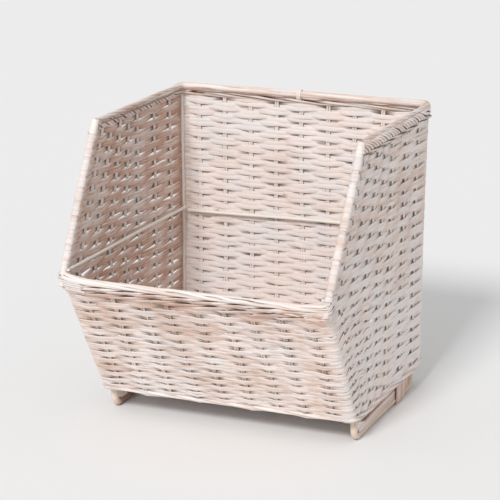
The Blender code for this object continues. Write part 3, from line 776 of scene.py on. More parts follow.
# Above the lip each row hooks round the sloping edge at both ends
def lay_upper_rows(strands):
    stops = (
        side_stops(-1, UP_SIDE)
        + corner_stops("back_corner", -1, AWAY_TURNS)
        + BACK_STOPS
        + corner_stops("back_corner", 1, CORNER_TURNS)
        + side_stops(1, DOWN_SIDE)
    )
    for row in range(FULL_ROWS, FULL_ROWS + UPPER_ROWS):
        knots = [knot_at(stop, row, upper_row_place) for stop in stops]
        knots = list(reversed(hook(row, -1))) + knots + hook(row, 1)
        lay_row(strands, knots, closed=False)


HOOK_TURNS = (0, 35, 70, 105, 140, 175)
HOOK_UNEVEN = 0.035
FIRST_HOOK_SHARE = 0.5
HOOK_GROWTH = 0.2
HOOK_PITCH = 1.34
TAIL_LENGTH = 0.40
TAIL_OFFSET = 0.0010
TAIL_TIGHT = 0.9
TAIL_PITCH = 0.8
EDGE_WRAPS = 4
EDGE_WRAPS_FROM = UPPER_TOP - 0.001
EDGE_WRAP_STEP = 0.0042
EDGE_WRAP_RADIUS = HOOK_RADIUS - 0.0004
EDGE_WRAP_SIZE = (0.0029, 0.0006)
WRAP_SIDES = 20


def hook(row, sign):
    """From the last side stake round the edge wire, and back under the row."""
    height, pitch = upper_row_place(row, WALL_COLUMNS["front"])
    base = crate_point(sign * half_width(height), front_edge(height), height)
    out = side_out(sign)
    side = -side_of(row, ("side", sign, SIDE_STAKES))
    share = min(1.0, FIRST_HOOK_SHARE + HOOK_GROWTH * (row - FULL_ROWS))
    reach = HOOK_RADIUS * (1 + HOOK_UNEVEN * rng.normal()) * share
    knots = []
    for turn in HOOK_TURNS:
        angle = math.radians(turn)
        away = unit(math.cos(angle) * out + side * math.sin(angle) * SLOPE_EDGE_OUT)
        knots.append(Knot(base, away, reach * side, 1.0, pitch * HOOK_PITCH))
    gap = front_edge(height) - side_depth(SIDE_STAKES, height)
    tail = base - FORWARD * gap * TAIL_LENGTH
    knots.append(Knot(tail, -out, TAIL_OFFSET * side, TAIL_TIGHT, pitch * TAIL_PITCH))
    return knots


def lay_edge_wraps(strands):
    """A few turns round each edge wire between the top row and the rim."""
    angles = ring_angles(WRAP_SIDES)
    for sign in (-1, 1):
        for k in range(EDGE_WRAPS):
            height = EDGE_WRAPS_FROM + EDGE_WRAP_STEP * k
            centre = crate_point(sign * half_width(height), front_edge(height), height)
            out = np.outer(np.cos(angles), side_out(sign)) + np.outer(np.sin(angles), SLOPE_EDGE_OUT)
            strands.add(centre + out * EDGE_WRAP_RADIUS, out, *EDGE_WRAP_SIZE, 0.0, closed=True)


# Base: rows across, back and forth under and over the through stakes
BASE_ROW_PITCH = 0.0077
BASE_EDGE = 0.1684
BASE_MARGIN = 0.003
BASE_BARE = 0.15


def lay_base_rows(strands):
    span = BASE_DEPTH - 2 * BASE_MARGIN
    count = round(span / BASE_ROW_PITCH)
    knots = []
    for row in range(count):
        depth = BASE_MARGIN + (row + 0.5) * span / count
        way = 1 if row % 2 else -1
        knots.append(Knot(crate_point(-way * BASE_EDGE, depth, 0), DOWN, 0.0, 1.0, BASE_ROW_PITCH))
        for step in range(THROUGH_STAKES):
            index = step if way > 0 else THROUGH_STAKES - 1 - step
            side = 1 if (row + index) % 2 else -1
            base = crate_point(through_x(index, 0, depth), depth, 0)
            knots.append(Knot(base, DOWN, FLOAT_OFFSET * side, 0.0, BASE_ROW_PITCH, stake=True))
        knots.append(Knot(crate_point(way * BASE_EDGE, depth, 0), DOWN, 0.0, 1.0, BASE_ROW_PITCH))
    lay_row(strands, knots, closed=False, bareness=BASE_BARE)


# Stakes, worn where they turn up into the front
CORE_WAVES = (0.12, 0.00018)
CORE_BARE = 0.1
CORE_WORN_DEPTHS = (BASE_DEPTH - 0.010, BASE_DEPTH + 0.003)
SIDE_STAKE_POINTS = 27
STAKE_BELOW_BASE = 0.002
STAKE_BELOW_RIM = 0.003
STAKE_BELOW_LIP = 0.002


def resample(points, step):
    """Points evenly spaced along a polyline."""
    points = np.asarray(points, float)
    lengths = lengths_along(points)
    count = max(2, round(lengths[-1] / step) + 1)
    places = np.linspace(0, lengths[-1], count)
    return np.stack([np.interp(places, lengths, points[:, axis]) for axis in range(3)], -1)


def lay_core(strands, points, across, offset, tone):
    points = np.asarray(points, float) + across * offset
    steps = lengths_along(points)
    points = points + across * waves(steps, steps[-1], *CORE_WAVES)[:, None]
    out = np.cross(unit(np.gradient(points, axis=0)), across)
    is_through = abs(across[0]) > 0.5
    wear_and_painted_light = CORE_BARE + smooth(*CORE_WORN_DEPTHS, BACK_Y - points[:, 1]) * is_through
    strands.add(points, out, CORE_RADIUS, CORE_DEPTH, wear_and_painted_light, tone, sides=CORE_SIDES, flat=FLATNESS)


def bend_points(corner, before, after, radius, steps=4):
    """A rounded corner between two directions, in the plane that they span."""
    before, after = unit(before), unit(after)
    angle = math.acos(float(np.clip(np.dot(before, after), -1, 1)))
    reach = radius * math.tan(angle / 2)
    start = corner - before * reach
    inward = unit(after - before * np.dot(before, after))
    centre = start + inward * radius
    turns = [angle * k / steps for k in range(steps + 1)]
    return [centre - inward * radius * math.cos(t) + before * radius * math.sin(t) for t in turns]


def lay_through_stake(strands, index):
    def at(depth, height):
        return crate_point(through_x(index, height, depth), depth, height)

    top, back, front = RIM_HEIGHT - STAKE_BELOW_RIM, at(0, 0), at(BASE_DEPTH, 0)
    lip = LIP_HEIGHT - STAKE_BELOW_LIP
    head, tip = at(0, top), at(front_edge(lip), lip)
    line = [at(0, h) for h in np.linspace(top, STAKE_BEND * 2, round(top / CORE_STEP))]
    line += bend_points(back, back - head, front - back, STAKE_BEND)
    line += list(resample([at(STAKE_BEND * 2, 0), at(BASE_DEPTH - STAKE_BEND * 2, 0)], CORE_STEP))
    line += bend_points(front, front - back, tip - front, STAKE_BEND)
    heights = np.arange(STAKE_BEND * 2, lip, CORE_STEP / 2)
    line += [at(front_edge(h), h) for h in heights] + [tip]
    across = np.array((1.0, 0.0, 0.0))
    for hand in (-1, 1):
        lay_core(strands, line, across, hand * CORE_SPACING / 2, rng.random())


def lay_side_stake(strands, sign, index):
    heights = np.linspace(-STAKE_BELOW_BASE, RIM_HEIGHT - STAKE_BELOW_RIM, SIDE_STAKE_POINTS)
    line = [crate_point(sign * half_width(h), side_depth(index, h), h) for h in heights]
    for hand in (-1, 1):
        lay_core(strands, line, FORWARD, hand * CORE_SPACING / 2, rng.random())


def lay_stakes(strands):
    for index in range(THROUGH_STAKES):
        lay_through_stake(strands, index)
    for sign in (-1, 1):
        for index in DOWN_SIDE:
            lay_side_stake(strands, sign, index)


# Ropes: the rolled rims, the lip and the lower edge. Waves are wavelength and size
ROPE_STEP = 0.0042
ROPE_SIDES = 8
ROPE_BARE = 0.12
ROPE_EDGE_BARE = 0.30
ROPE_INNER_BARE_AND_SHADE = 0.5
ROPE_EDGE_DARK = 0.35
ROPE_LOOSE = 0.10
ROPE_WAVELENGTH = 0.15
ROPE_REACH_WAVES = (0.08, 0.05)
ROPE_WIDTH_WAVES = (0.10, 0.08)
FRAME_START = (0.3, 0.2, 0.93)


def carry_frame(line):
    """Two directions square to a line, carried along it without twisting."""
    tangent = unit(np.gradient(line, axis=0))
    ones = [unit(np.cross(tangent[0], FRAME_START))]
    for step in tangent[1:]:
        last = ones[-1]
        ones.append(unit(last - step * np.dot(last, step)))
    ones = np.array(ones)
    return ones, np.cross(tangent, ones)


def lay_rope(
    strands, line, count, pitch, radius, half, thick,
    rise=1.0, bare=ROPE_BARE, fray=0, dark=1.0, loose=ROPE_LOOSE,
):
    """Strands laid round a line.

    rise stretches the rope's height against its depth, fray is how many steps an end may be
    short, dark how dark the painted shade in its creases is and loose how unevenly its strands turn.
    """
    one, two = carry_frame(line)
    steps = np.linalg.norm(np.diff(line, axis=0), axis=1)
    along = lengths_along(line)
    pitch, radius = np.broadcast_to(pitch, len(line)), np.broadcast_to(radius, len(line))
    turned = np.concatenate(([0.0], np.cumsum(steps / pitch[:-1]))) * 2 * math.pi
    edge = np.abs(np.cos(ring_angles(ROPE_SIDES)))
    inner = np.clip(-np.sin(ring_angles(ROPE_SIDES)), 0, 1)
    size = (len(line), ROPE_SIDES)
    # The inner faces of the rope's strands are darkened partly as painted shade, and its creases get painted
    # shade
    rope_wear_and_shade = np.broadcast_to(bare + ROPE_EDGE_BARE * edge ** 4 + ROPE_INNER_BARE_AND_SHADE * inner, size)
    shade = np.broadcast_to(dark * (inner + ROPE_EDGE_DARK * edge ** 6), size)
    for k in range(count):
        wander = waves(along, along[-1], ROPE_WAVELENGTH * ROPE_LOOSE / loose, loose)
        angle = turned + 2 * math.pi * k / count + wander
        out = one * np.cos(angle)[:, None] + two * np.sin(angle)[:, None]
        shift = out * (radius * (1 + waves(along, along[-1], *ROPE_REACH_WAVES)))[:, None]
        shift[:, 2] *= rise
        width = half * (1 + waves(along, along[-1], *ROPE_WIDTH_WAVES))
        kept = slice(None)
        if fray:
            kept = slice(int(rng.integers(0, fray + 1)), len(line) - int(rng.integers(0, fray + 1)))
        crease = shade[kept] * fade_at_ends(len(shade[kept]))
        strands.add(
            (line + shift)[kept], out[kept], width[kept], thick, rope_wear_and_shade[kept],
            sides=ROPE_SIDES, crease=crease,
        )


# The rims: a smooth roll on top, a rope of short strands against its outside, and a thin line
# under that. Each place is a reach outwards and a rise from the rim's height. Each pair of
# looks is what holds at the back, and what the sides add to it
RIM_TURN = 0.010
RIM_END = 0.0035
ON_SIDE_DEPTHS = (0.006, 0.040)
ROLL_PLACE = (-0.0006, 0.0024)
ROLL_STRANDS = 4
ROLL_PITCH = (0.80, -0.70)
ROLL_RADIUS = (0.0028, -0.0014)
ROLL_HALF = (0.0033, -0.0014)
ROLL_THICK = 0.0019
ROLL_DARK = (0.20, 0.70)
ROLL_BARE = 0.35
OUTER_PLACE = (0.0006, -0.0048)
OUTER_STRANDS = 6
OUTER_PITCH = (0.34, -0.282)
OUTER_RADIUS = (0.0034, 0.0004)
OUTER_SIZE = (0.0020, 0.0013)
OUTER_SIDE_SHIFT = 0.0006
OUTER_RISE = 1.25
OUTER_ROPE_BARE = 0.30
OUTER_LOOSE = 0.13
UNDER_PLACE = (0.0034, -0.0122)
UNDER_ROPE = (2, 0.085, 0.0011, 0.0015, 0.0010)
UNDER_ROPE_BARE = 0.25
UNDER_ROPE_DARK = 1.2
GAP_PLACE = (-0.0046, -0.0024)
GAP_WAVES = (0.10, 0.0004)
GAP_SIZE = (0.0008, 0.0006)
GAP_SHADOW_BARE = 1.2
GAP_DARK = 0.6
GAP_ENDS = 3
JOINT_TURNS = 2
JOINT_X = -0.005
JOINT_STEP = 0.0030
JOINT_RISE = 0.0012
JOINT_REACH = np.array((0.0, 0.0058, 0.0072))
JOINT_SIZE = (0.0016, 0.0006)
JOINT_BARE = 0.1


def rim_line(reach, rise):
    """From the front end of the left side, round the back, to that of the right side."""
    height = RIM_HEIGHT + rise

    def corner(sign, depth):
        return crate_point(sign * (RIM_HALF + reach), depth, height)

    end = front_edge(height) + RIM_END
    points = [corner(-1, end)]
    points += bend_points(corner(-1, -reach), -FORWARD, corner(1, 0) - corner(-1, 0), RIM_TURN)
    points += bend_points(corner(1, -reach), corner(1, 0) - corner(-1, 0), FORWARD, RIM_TURN)
    points += [corner(1, end)]
    return resample(points, ROPE_STEP)


def lay_rims(strands):
    """The roll, the rope outside it and the thin line under that, with the tied joint."""
    line = rim_line(*ROLL_PLACE)
    on_side = smooth(*ON_SIDE_DEPTHS, BACK_Y - line[:, 1])
    looks = (ROLL_PITCH, ROLL_RADIUS, ROLL_HALF, ROLL_DARK)
    pitch, radius, half, dark = (back + more * on_side for back, more in looks)
    lay_rope(
        strands, line, ROLL_STRANDS, pitch, radius, half, ROLL_THICK,
        bare=ROLL_BARE, fray=1, dark=dark[:, None],
    )
    line = rim_line(*OUTER_PLACE)
    on_side = smooth(*ON_SIDE_DEPTHS, BACK_Y - line[:, 1])
    line[:, 2] -= OUTER_SIDE_SHIFT * on_side
    line[:, 0] += np.sign(line[:, 0]) * OUTER_SIDE_SHIFT * on_side
    pitch, radius = (back + more * on_side for back, more in (OUTER_PITCH, OUTER_RADIUS))
    lay_rope(
        strands, line, OUTER_STRANDS, pitch, radius, *OUTER_SIZE,
        rise=OUTER_RISE, bare=OUTER_ROPE_BARE, fray=3, loose=OUTER_LOOSE,
    )
    line = rim_line(*UNDER_PLACE)
    lay_rope(strands, line, *UNDER_ROPE, bare=UNDER_ROPE_BARE, fray=2, dark=UNDER_ROPE_DARK)
    lay_gap_shadow_strand(strands)
    lay_joint(strands)


def lay_gap_shadow_strand(strands):
    """A thin dark strand in the gap under the roll, a painted shadow line seen from inside the crate."""
    line = rim_line(*GAP_PLACE)
    along = np.arange(len(line)) * ROPE_STEP
    line[:, 2] += waves(along, along[-1], *GAP_WAVES)
    inward = np.zeros_like(line)
    inward[:, :2] = INSIDE - line[:, :2]
    kept = slice(GAP_ENDS, -GAP_ENDS)
    crease = np.full((len(line[kept]), STRAND_SIDES), GAP_DARK)
    strands.add(line[kept], unit(inward)[kept], *GAP_SIZE, GAP_SHADOW_BARE, crease=crease)


def lay_joint(strands):
    """Where the two ends of the back roll meet, tied with a few turns."""
    angles = ring_angles(WRAP_SIDES)
    out = np.stack((np.zeros(WRAP_SIDES), np.cos(angles), np.sin(angles)), -1)
    for k in range(JOINT_TURNS):
        centre = crate_point(JOINT_X + JOINT_STEP * k, 0.0, RIM_HEIGHT + JOINT_RISE)
        strands.add(centre + out * JOINT_REACH, out, *JOINT_SIZE, JOINT_BARE, closed=True)


# The lip: a roll over two rows of long strands, whose ends curve up round the corners
LIP_RISE = 0.0016
LIP_TAIL = 0.012
LIP_CORNER_SPAN = 0.040
LIP_CORNER_RISE = 0.0030
LIP_CORNER_REACH = 0.0012
LIP_ROLL = (5, 0.30)
LIP_ROLL_RADIUS = 0.0028
LIP_ROLL_SIZE = (0.0022, 0.0014)
LIP_ROLL_DARK = 0.30
LIP_ROLL_LOOSE = 0.2
LOOSE_SHARES = (0.80, 0.80, 0.80, 0.68, 0.68, 0.68)
LOOSE_FROM = 0.0036
LOOSE_STEP = 0.0030
LOOSE_REACH = 0.0060
LOOSE_REACH_UNEVEN = 0.0008
LOOSE_FRONT = 0.0020
LOOSE_FRONT_UNEVEN = 0.0006
LOOSE_START = 0.030
LOOSE_START_UNEVEN = 0.006
LOOSE_START_DROP = 0.0015
LOOSE_CORNER_RISE = 0.0010
LOOSE_BACK = 0.011
LOOSE_BACK_UNEVEN = 0.008
LOOSE_BACK_RISE = 0.0060
LOOSE_RISE_UNEVEN = 0.003
LOOSE_BEND = 0.006
LOOSE_SAMPLES = 0.0024
LOOSE_SIZE = (0.0017, 0.0009)
LOOSE_BARE = 0.05
LOOSE_SHADE = 0.5 * np.abs(np.cos(ring_angles(STRAND_SIDES))) ** 6
WALE_OFFSET = 0.0023
WALE_HALF = 0.0021
WALE_LOOKS = (1.0, 1.0, 1.7, WALE_OFFSET, 0.0009, 0.0, 0.0)
WALE_TIGHT = 0.2
WALE_CORNER_TIGHT = 0.5
WALE_CORNER_SPREAD = 1.1
WALE_BARE = 0.05


def lay_lip(strands):
    """A smooth roll along the lip, over two rows of long strands that cross at a low angle."""
    height = LIP_HEIGHT + LIP_RISE
    half = half_width(height)
    corners = [crate_point(sign * half, LIP_DEPTH, height) for sign in (-1, 1)]
    points = [corners[0] - FORWARD * LIP_TAIL]
    points += bend_points(corners[0], FORWARD, corners[1] - corners[0], RIM_TURN)
    points += bend_points(corners[1], corners[1] - corners[0], -FORWARD, RIM_TURN)
    points += [corners[1] - FORWARD * LIP_TAIL]
    line = resample(points, ROPE_STEP)
    corner = smooth(half - LIP_CORNER_SPAN, half, np.abs(line[:, 0]))
    line[:, 2] += LIP_CORNER_RISE * corner
    radius = LIP_ROLL_RADIUS + LIP_CORNER_REACH * corner
    lay_rope(
        strands, line, *LIP_ROLL, radius, *LIP_ROLL_SIZE,
        bare=0.0, dark=LIP_ROLL_DARK, loose=LIP_ROLL_LOOSE,
    )
    lay_loose_ends(strands)
    stops = corner_stops("front_corner", 1, AWAY_TURNS) + FRONT_STOPS
    stops += corner_stops("front_corner", -1, CORNER_TURNS)
    for height in LIP_WALES:
        lay_wale(strands, stops, height)


def lay_loose_ends(strands):
    """The ends of the lip's strands, which curve up round its corners."""
    for sign in (-1, 1):
        for k, share in enumerate(LOOSE_SHARES):
            height = LIP_HEIGHT + LOOSE_FROM - LOOSE_STEP * k
            half = half_width(height) + LOOSE_REACH * share + LOOSE_REACH_UNEVEN * rng.random()
            front = front_edge(min(height, LIP_HEIGHT)) + LOOSE_FRONT + LOOSE_FRONT_UNEVEN * rng.random()
            inner = half - LOOSE_START - LOOSE_START_UNEVEN * rng.random()
            start = crate_point(sign * inner, front, height - LOOSE_START_DROP)
            corner = crate_point(sign * half, front, height + LOOSE_CORNER_RISE)
            depth = front - LOOSE_BACK - LOOSE_BACK_UNEVEN * rng.random()
            end = height + LOOSE_BACK_RISE + LOOSE_RISE_UNEVEN * rng.random()
            back = crate_point(sign * half, depth, end)
            line = [start] + bend_points(corner, corner - start, back - corner, LOOSE_BEND) + [back]
            line = resample(line, LOOSE_SAMPLES)
            out = np.tile(unit(FRONT_OUT + side_out(sign)), (len(line), 1))
            shade = np.broadcast_to(LOOSE_SHADE, (len(line), STRAND_SIDES))
            strands.add(line, out, *LOOSE_SIZE, LOOSE_BARE, crease=shade)


def lay_wale(strands, stops, height):
    """Three strands that each pass two stakes outside the wall and the next inside."""
    for strand in range(3):
        knots = []
        for stop in stops:
            if "corner" in stop[0]:
                lift = (strand - 1) * WALE_HALF * WALE_CORNER_SPREAD
                offset, tight, at_stake = WALE_OFFSET, WALE_CORNER_TIGHT, False
            else:
                phase = (order_of(stop) + strand) % 3
                lift = 0.0 if phase == 0 else (3 - 2 * phase) * WALE_HALF
                offset, tight, at_stake = -WALE_OFFSET if phase == 0 else WALE_OFFSET, WALE_TIGHT, True
            base, out = stop_geometry(*stop, height + lift)
            knots.append(Knot(base, out, offset, tight, WALE_HALF * 2, at_stake, WALE_LOOKS))
        lay_row(strands, knots, closed=False, bareness=WALE_BARE, hands=(0,))


# The rope round the lower edge: a reach outwards, a rise, and its strands
FOOT_REACH = 0.0016
FOOT_RISE = 0.0034
FOOT_ROPE = (3, 0.150, 0.0016, 0.0022, 0.0014)
FOOT_DARK = 0.8


def lay_foot_rope(strands):
    """Thin strands twisted round the lower edge."""
    half, front, back = BASE_HALF + FOOT_REACH, BASE_DEPTH + FOOT_REACH, -FOOT_REACH
    corners = [(half, back), (half, front), (-half, front), (-half, back)]
    corners = [crate_point(x, depth, FOOT_RISE) for x, depth in corners]
    points = [(corners[0] + corners[3]) / 2]
    for k, corner in enumerate(corners):
        before = corner - corners[k - 1]
        after = corners[(k + 1) % 4] - corner
        points += bend_points(corner, before, after, CORNER_RADIUS)
    points.append(points[0])
    lay_rope(strands, resample(points, ROPE_STEP), *FOOT_ROPE, dark=FOOT_DARK)


# Runners, each a cane with a knuckle, and how bare of paint the left and the right one are: on
# the whole, and at the front foot. The left run is darker than the right partly as painted shade.
# Waves are wavelength and size
CANE_RADIUS = 0.0048
CANE_MARGIN = 0.0002
CANE_WAVES = (0.05, 0.00006)
CANE_STEP = 0.004
CANE_SIDES = 16
KNUCKLE_RISE = 0.000168
KNUCKLE_PLACE = 0.095
KNUCKLE_LENGTH = 0.003
RUNNER_FRONT = 0.241
RUNNER_REAR = 0.031
RUNNER_BEND = 0.010
RUNNER_BEND_STEPS = 6
RUNNER_TOP = 0.0290
RUN_ARCH = 0.0012
RUN_ARCH_SKEW = 0.8
FRONT_FOOT_DEPTHS = (RUNNER_FRONT - 0.012, RUNNER_FRONT - 0.002)
RUNNER_BARE_AND_SHADE = {-1: (0.95, -1.9), 1: (-0.25, -0.5)}


def lay_runner(strands, sign):
    """A cane bent up at both ends, from the base down to the floor and back."""
    def at(depth, z):
        return np.array((sign * RUNNER_X, BACK_Y - depth, z))

    rear, front = at(RUNNER_REAR, CANE_RADIUS), at(RUNNER_FRONT, CANE_RADIUS)
    rear_top, front_top = at(RUNNER_REAR, RUNNER_TOP), at(RUNNER_FRONT, RUNNER_TOP)
    points = [rear_top]
    points += bend_points(rear, rear - rear_top, front - rear, RUNNER_BEND, RUNNER_BEND_STEPS)
    points += bend_points(front, front - rear, front_top - front, RUNNER_BEND, RUNNER_BEND_STEPS)
    line = resample(points + [front_top], CANE_STEP)
    share = (BACK_Y - line[:, 1] - RUNNER_REAR) / (RUNNER_FRONT - RUNNER_REAR)
    line[:, 2] += RUN_ARCH * np.sin(math.pi * np.clip(share, 0, 1) ** RUN_ARCH_SKEW)
    along = np.arange(len(line)) * CANE_STEP
    knuckle = KNUCKLE_RISE * np.exp(-(((along - KNUCKLE_PLACE) / KNUCKLE_LENGTH) ** 2))
    radius = CANE_RADIUS - CANE_MARGIN + knuckle + waves(along, along[-1], *CANE_WAVES)
    out = np.cross(unit(np.gradient(line, axis=0)), (1.0, 0.0, 0.0))
    # The left run is darkened partly as painted shade under the base
    bare, more_at_foot = RUNNER_BARE_AND_SHADE[sign]
    wear_and_painted_light = bare + more_at_foot * smooth(*FRONT_FOOT_DEPTHS, BACK_Y - line[:, 1])
    strands.add(line, out, radius, radius, wear_and_painted_light, sides=CANE_SIDES)


# Lashings: loops wound round a runner and the base above it
LASHING_LOOPS = 9
LASHING_POINTS = 28
LASHING_MARGIN = 0.002
LASHING_SLANT = 0.0018
LASHING_AWAY = 0.0007
LASHING_RISE = 0.0010
LASHING_BOTTOM = 0.0010
LASHING_HALF = 0.0019
LASHING_UNEVEN = 0.0004
LASHING_THICK = 0.0006
LASHING_BARE = 0.55


def lay_lashing(strands, sign):
    low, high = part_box("lashing_right" if sign > 0 else "lashing_left")
    first, last = low.y + LASHING_MARGIN, high.y - LASHING_MARGIN
    wide = CANE_RADIUS + LASHING_AWAY
    angles = ring_angles(LASHING_POINTS)
    out = np.stack((np.cos(angles), np.zeros(LASHING_POINTS), np.sin(angles)), -1)
    middles = np.where(out[:, 2] < 0, CANE_RADIUS, BASE_Z + LASHING_RISE - wide)
    for k in range(LASHING_LOOPS):
        line = out * wide
        line[:, 0] += sign * RUNNER_X
        line[:, 1] += first + (last - first) * (k + 0.5) / LASHING_LOOPS
        line[:, 1] += LASHING_SLANT * rng.normal() * out[:, 2]
        line[:, 2] = np.maximum(line[:, 2] + middles, LASHING_BOTTOM)
        half = LASHING_HALF + LASHING_UNEVEN * rng.random()
        strands.add(line, out, half, LASHING_THICK, LASHING_BARE, closed=True)


# Thin strands at the feet. Braces run from each front foot up to the base: how many, and how far
# back they reach. The right runner has strands along its run. Others edge the base, darkened as
# painted shade
BRACES = {-1: (3, 0.030), 1: (5, 0.046)}
BRACE_X = 0.0016
BRACE_AHEAD = 0.002
BRACE_DROP = 0.0005
BRACE_STEP = 0.0030
BRACE_SPACING = 0.0058
BRACE_FOOT = 0.0085
BRACE_SAG = 0.0012
BRACE_SIZE = (0.0022, 0.0008)
BRACE_BARE = 0.2
RUN_STRANDS = {-1: 0, 1: 4}
RUN_X = 0.0012
RUN_FRONT = (0.010, 0.0085, 0.0010)
RUN_REAR = (0.012, 0.0125, 0.0042)
RUN_STEP = 0.005
RUN_WAVES = (0.09, 0.0004)
RUN_SIZE = (0.0025, 0.0022)
RUN_BARE = 0.35
RUN_BARE_UNEVEN = 0.15
EDGE_STRANDS = 3
EDGE_POINTS = 60
EDGE_SPAN = (RUNNER_REAR - 0.006, RUNNER_FRONT + 0.004)
EDGE_INSET = 0.0030
EDGE_INSET_STEP = 0.0006
EDGE_HEIGHT = -0.0052
EDGE_STEP = 0.0016
EDGE_WAVES = (0.07, 0.0005)
EDGE_SIZE = (0.0014, 0.0011)
EDGE_STRAND_SHADE = 0.9


def sideways(line, sign=1):
    return np.tile((sign * 1.0, 0.0, 0.0), (len(line), 1))


def lay_braces(strands, sign):
    count, reach = BRACES[sign]
    x, foot = sign * RUNNER_X + BRACE_X, BACK_Y - RUNNER_FRONT
    for k in range(count):
        high = np.array((x, foot - BRACE_AHEAD, BASE_Z - BRACE_DROP - BRACE_STEP * k))
        low = np.array((x, foot + reach - BRACE_SPACING * k, BRACE_FOOT))
        line = resample([high, low], CANE_STEP)
        line[:, 2] -= BRACE_SAG * np.sin(np.linspace(0, math.pi, len(line)))
        strands.add(line, sideways(line), *BRACE_SIZE, BRACE_BARE)


def lay_run_strands(strands, sign):
    x = sign * (RUNNER_X + RUN_X)
    for k in range(RUN_STRANDS[sign]):
        inset, height, step = RUN_FRONT
        low = np.array((x, BACK_Y - RUNNER_FRONT + inset, height + step * k))
        inset, height, step = RUN_REAR
        high = np.array((x, BACK_Y - RUNNER_REAR - inset, height + step * k))
        line = resample([low, high], RUN_STEP)
        along = np.arange(len(line)) * RUN_STEP
        line[:, 2] += waves(along, along[-1], *RUN_WAVES)
        bare = RUN_BARE + RUN_BARE_UNEVEN * rng.random()
        strands.add(line, sideways(line, sign), *RUN_SIZE, bare)


def lay_shaded_edge_strands(strands, sign):
    depths = np.linspace(*EDGE_SPAN, EDGE_POINTS)
    along = depths - depths[0]
    for k in range(EDGE_STRANDS):
        x = sign * (BASE_HALF - EDGE_INSET) - sign * EDGE_INSET_STEP * k
        line = np.array([crate_point(x, depth, EDGE_HEIGHT - EDGE_STEP * k) for depth in depths])
        line[:, 2] += waves(along, along[-1], *EDGE_WAVES)
        # Darkened as painted shade of the base's edge
        strands.add(line, sideways(line, sign), *EDGE_SIZE, EDGE_STRAND_SHADE)


# Inside wires, which are tied on a little above the lip, each a bit out of true. For each side,
# how far its level wire and its upright wire are shifted towards the wall
BACK_WIRE_LIFTS = (0.0060, 0.0094)
SIDE_WIRE_LIFTS = (0.0125, 0.0095)
BACK_WIRE_BEND = 0.65
WIRE_SHIFTS = {"left": (0.0015, 0.0020), "right": (0.0, 0.0)}
WIRE_SAMPLES = 60
WIRE_SIDES = 12


def lay_wire(strands, node, axis, lifts=(0.0, 0.0), bend=None, to_wall=0.0):
    """A wire along an axis of its CAD box, raised more at one end than at the other."""
    low, high = (np.array(corner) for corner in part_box(node))
    radius = np.delete(high - low, axis).min() / 2
    ends = np.tile((low + high) / 2, (2, 1))
    ends[:, axis] = low[axis], high[axis]
    if axis == 2:
        ends[:, 0] = sorted((low[0] + radius, high[0] - radius), key=abs)
    share = np.linspace(0, 1, WIRE_SAMPLES)
    line = ends[0] + (ends[1] - ends[0]) * share[:, None]
    rising = smooth(0.0, bend, share) if bend else share
    line[:, 2] += lifts[0] + (lifts[1] - lifts[0]) * rising
    line[:, 0] += np.sign(line[:, 0]) * to_wall
    out = np.tile((1.0, 0.0, 0.0) if axis else (0.0, 1.0, 0.0), (WIRE_SAMPLES, 1))
    strands.add(line, out, radius, radius, 0.0, sides=WIRE_SIDES)


def lay_inside_wires(strands):
    lay_wire(strands, "lip_level_wire_back", 0, BACK_WIRE_LIFTS, BACK_WIRE_BEND)
    for side, (level, upright) in WIRE_SHIFTS.items():
        lay_wire(strands, f"lip_level_wire_{side}", 1, SIDE_WIRE_LIFTS, to_wall=level)
        lay_wire(strands, f"upright_wire_{side}", 2, to_wall=upright)


# Materials
def new_tree(name):
    material = bpy.data.materials.new(name)
    material.use_nodes = True
    material.node_tree.nodes.clear()
    return material, material.node_tree


def put(tree, kind, inputs=None, **settings):
    """A node with its settings, and its inputs as values or as links."""
    made = tree.nodes.new(kind)
    for key, value in settings.items():
        setattr(made, key, value)
    for key, value in (inputs or {}).items():
        if isinstance(value, bpy.types.NodeSocket):
            tree.links.new(value, made.inputs[key])
        else:
            made.inputs[key].default_value = value
    return made


def math_node(tree, operation, first, second, clamp=False):
    inputs = {0: first, 1: second}
    return put(tree, "ShaderNodeMath", inputs, operation=operation, use_clamp=clamp).outputs[0]


def mix_colours(tree, factor, first, second):
    made = put(tree, "ShaderNodeMix", {0: factor, 6: first, 7: second}, data_type="RGBA")
    return made.outputs[2]


def noise(tree, vector, scale, detail, roughness):
    inputs = {"Vector": vector, "Scale": scale, "Detail": detail, "Roughness": roughness}
    return put(tree, "ShaderNodeTexNoise", inputs).outputs["Fac"]


def stretch(tree, value, low, high, to_low=0.0, to_high=1.0):
    inputs = {"Value": value, "From Min": low, "From Max": high, "To Min": to_low, "To Max": to_high}
    return put(tree, "ShaderNodeMapRange", inputs, interpolation_type="SMOOTHSTEP").outputs[0]


def strand_vector(tree, along, around):
    """Coordinates that run with the strand, different for each strand."""
    uv = put(tree, "ShaderNodeUVMap", uv_map="strand").outputs[0]
    split = put(tree, "ShaderNodeSeparateXYZ", {0: uv})
    tone = put(tree, "ShaderNodeAttribute", attribute_name="tone").outputs["Fac"]
    x = math_node(tree, "MULTIPLY", split.outputs[0], along)
    y = math_node(tree, "MULTIPLY", split.outputs[1], around)
    z = math_node(tree, "MULTIPLY", tone, STRANDS_APART)
    return put(tree, "ShaderNodeCombineXYZ", {0: x, 1: y, 2: z}).outputs[0], tone


def rgba(colour):
    return (*colour, 1.0)


def surface(material, tree, **inputs):
    """Gives a material its surface. The inputs are named as in the shader, with _ for a space."""
    inputs = {name.replace("_", " "): value for name, value in inputs.items()}
    shader = put(tree, "ShaderNodeBsdfPrincipled", inputs)
    put(tree, "ShaderNodeOutputMaterial", {0: shader.outputs[0]})
    return material


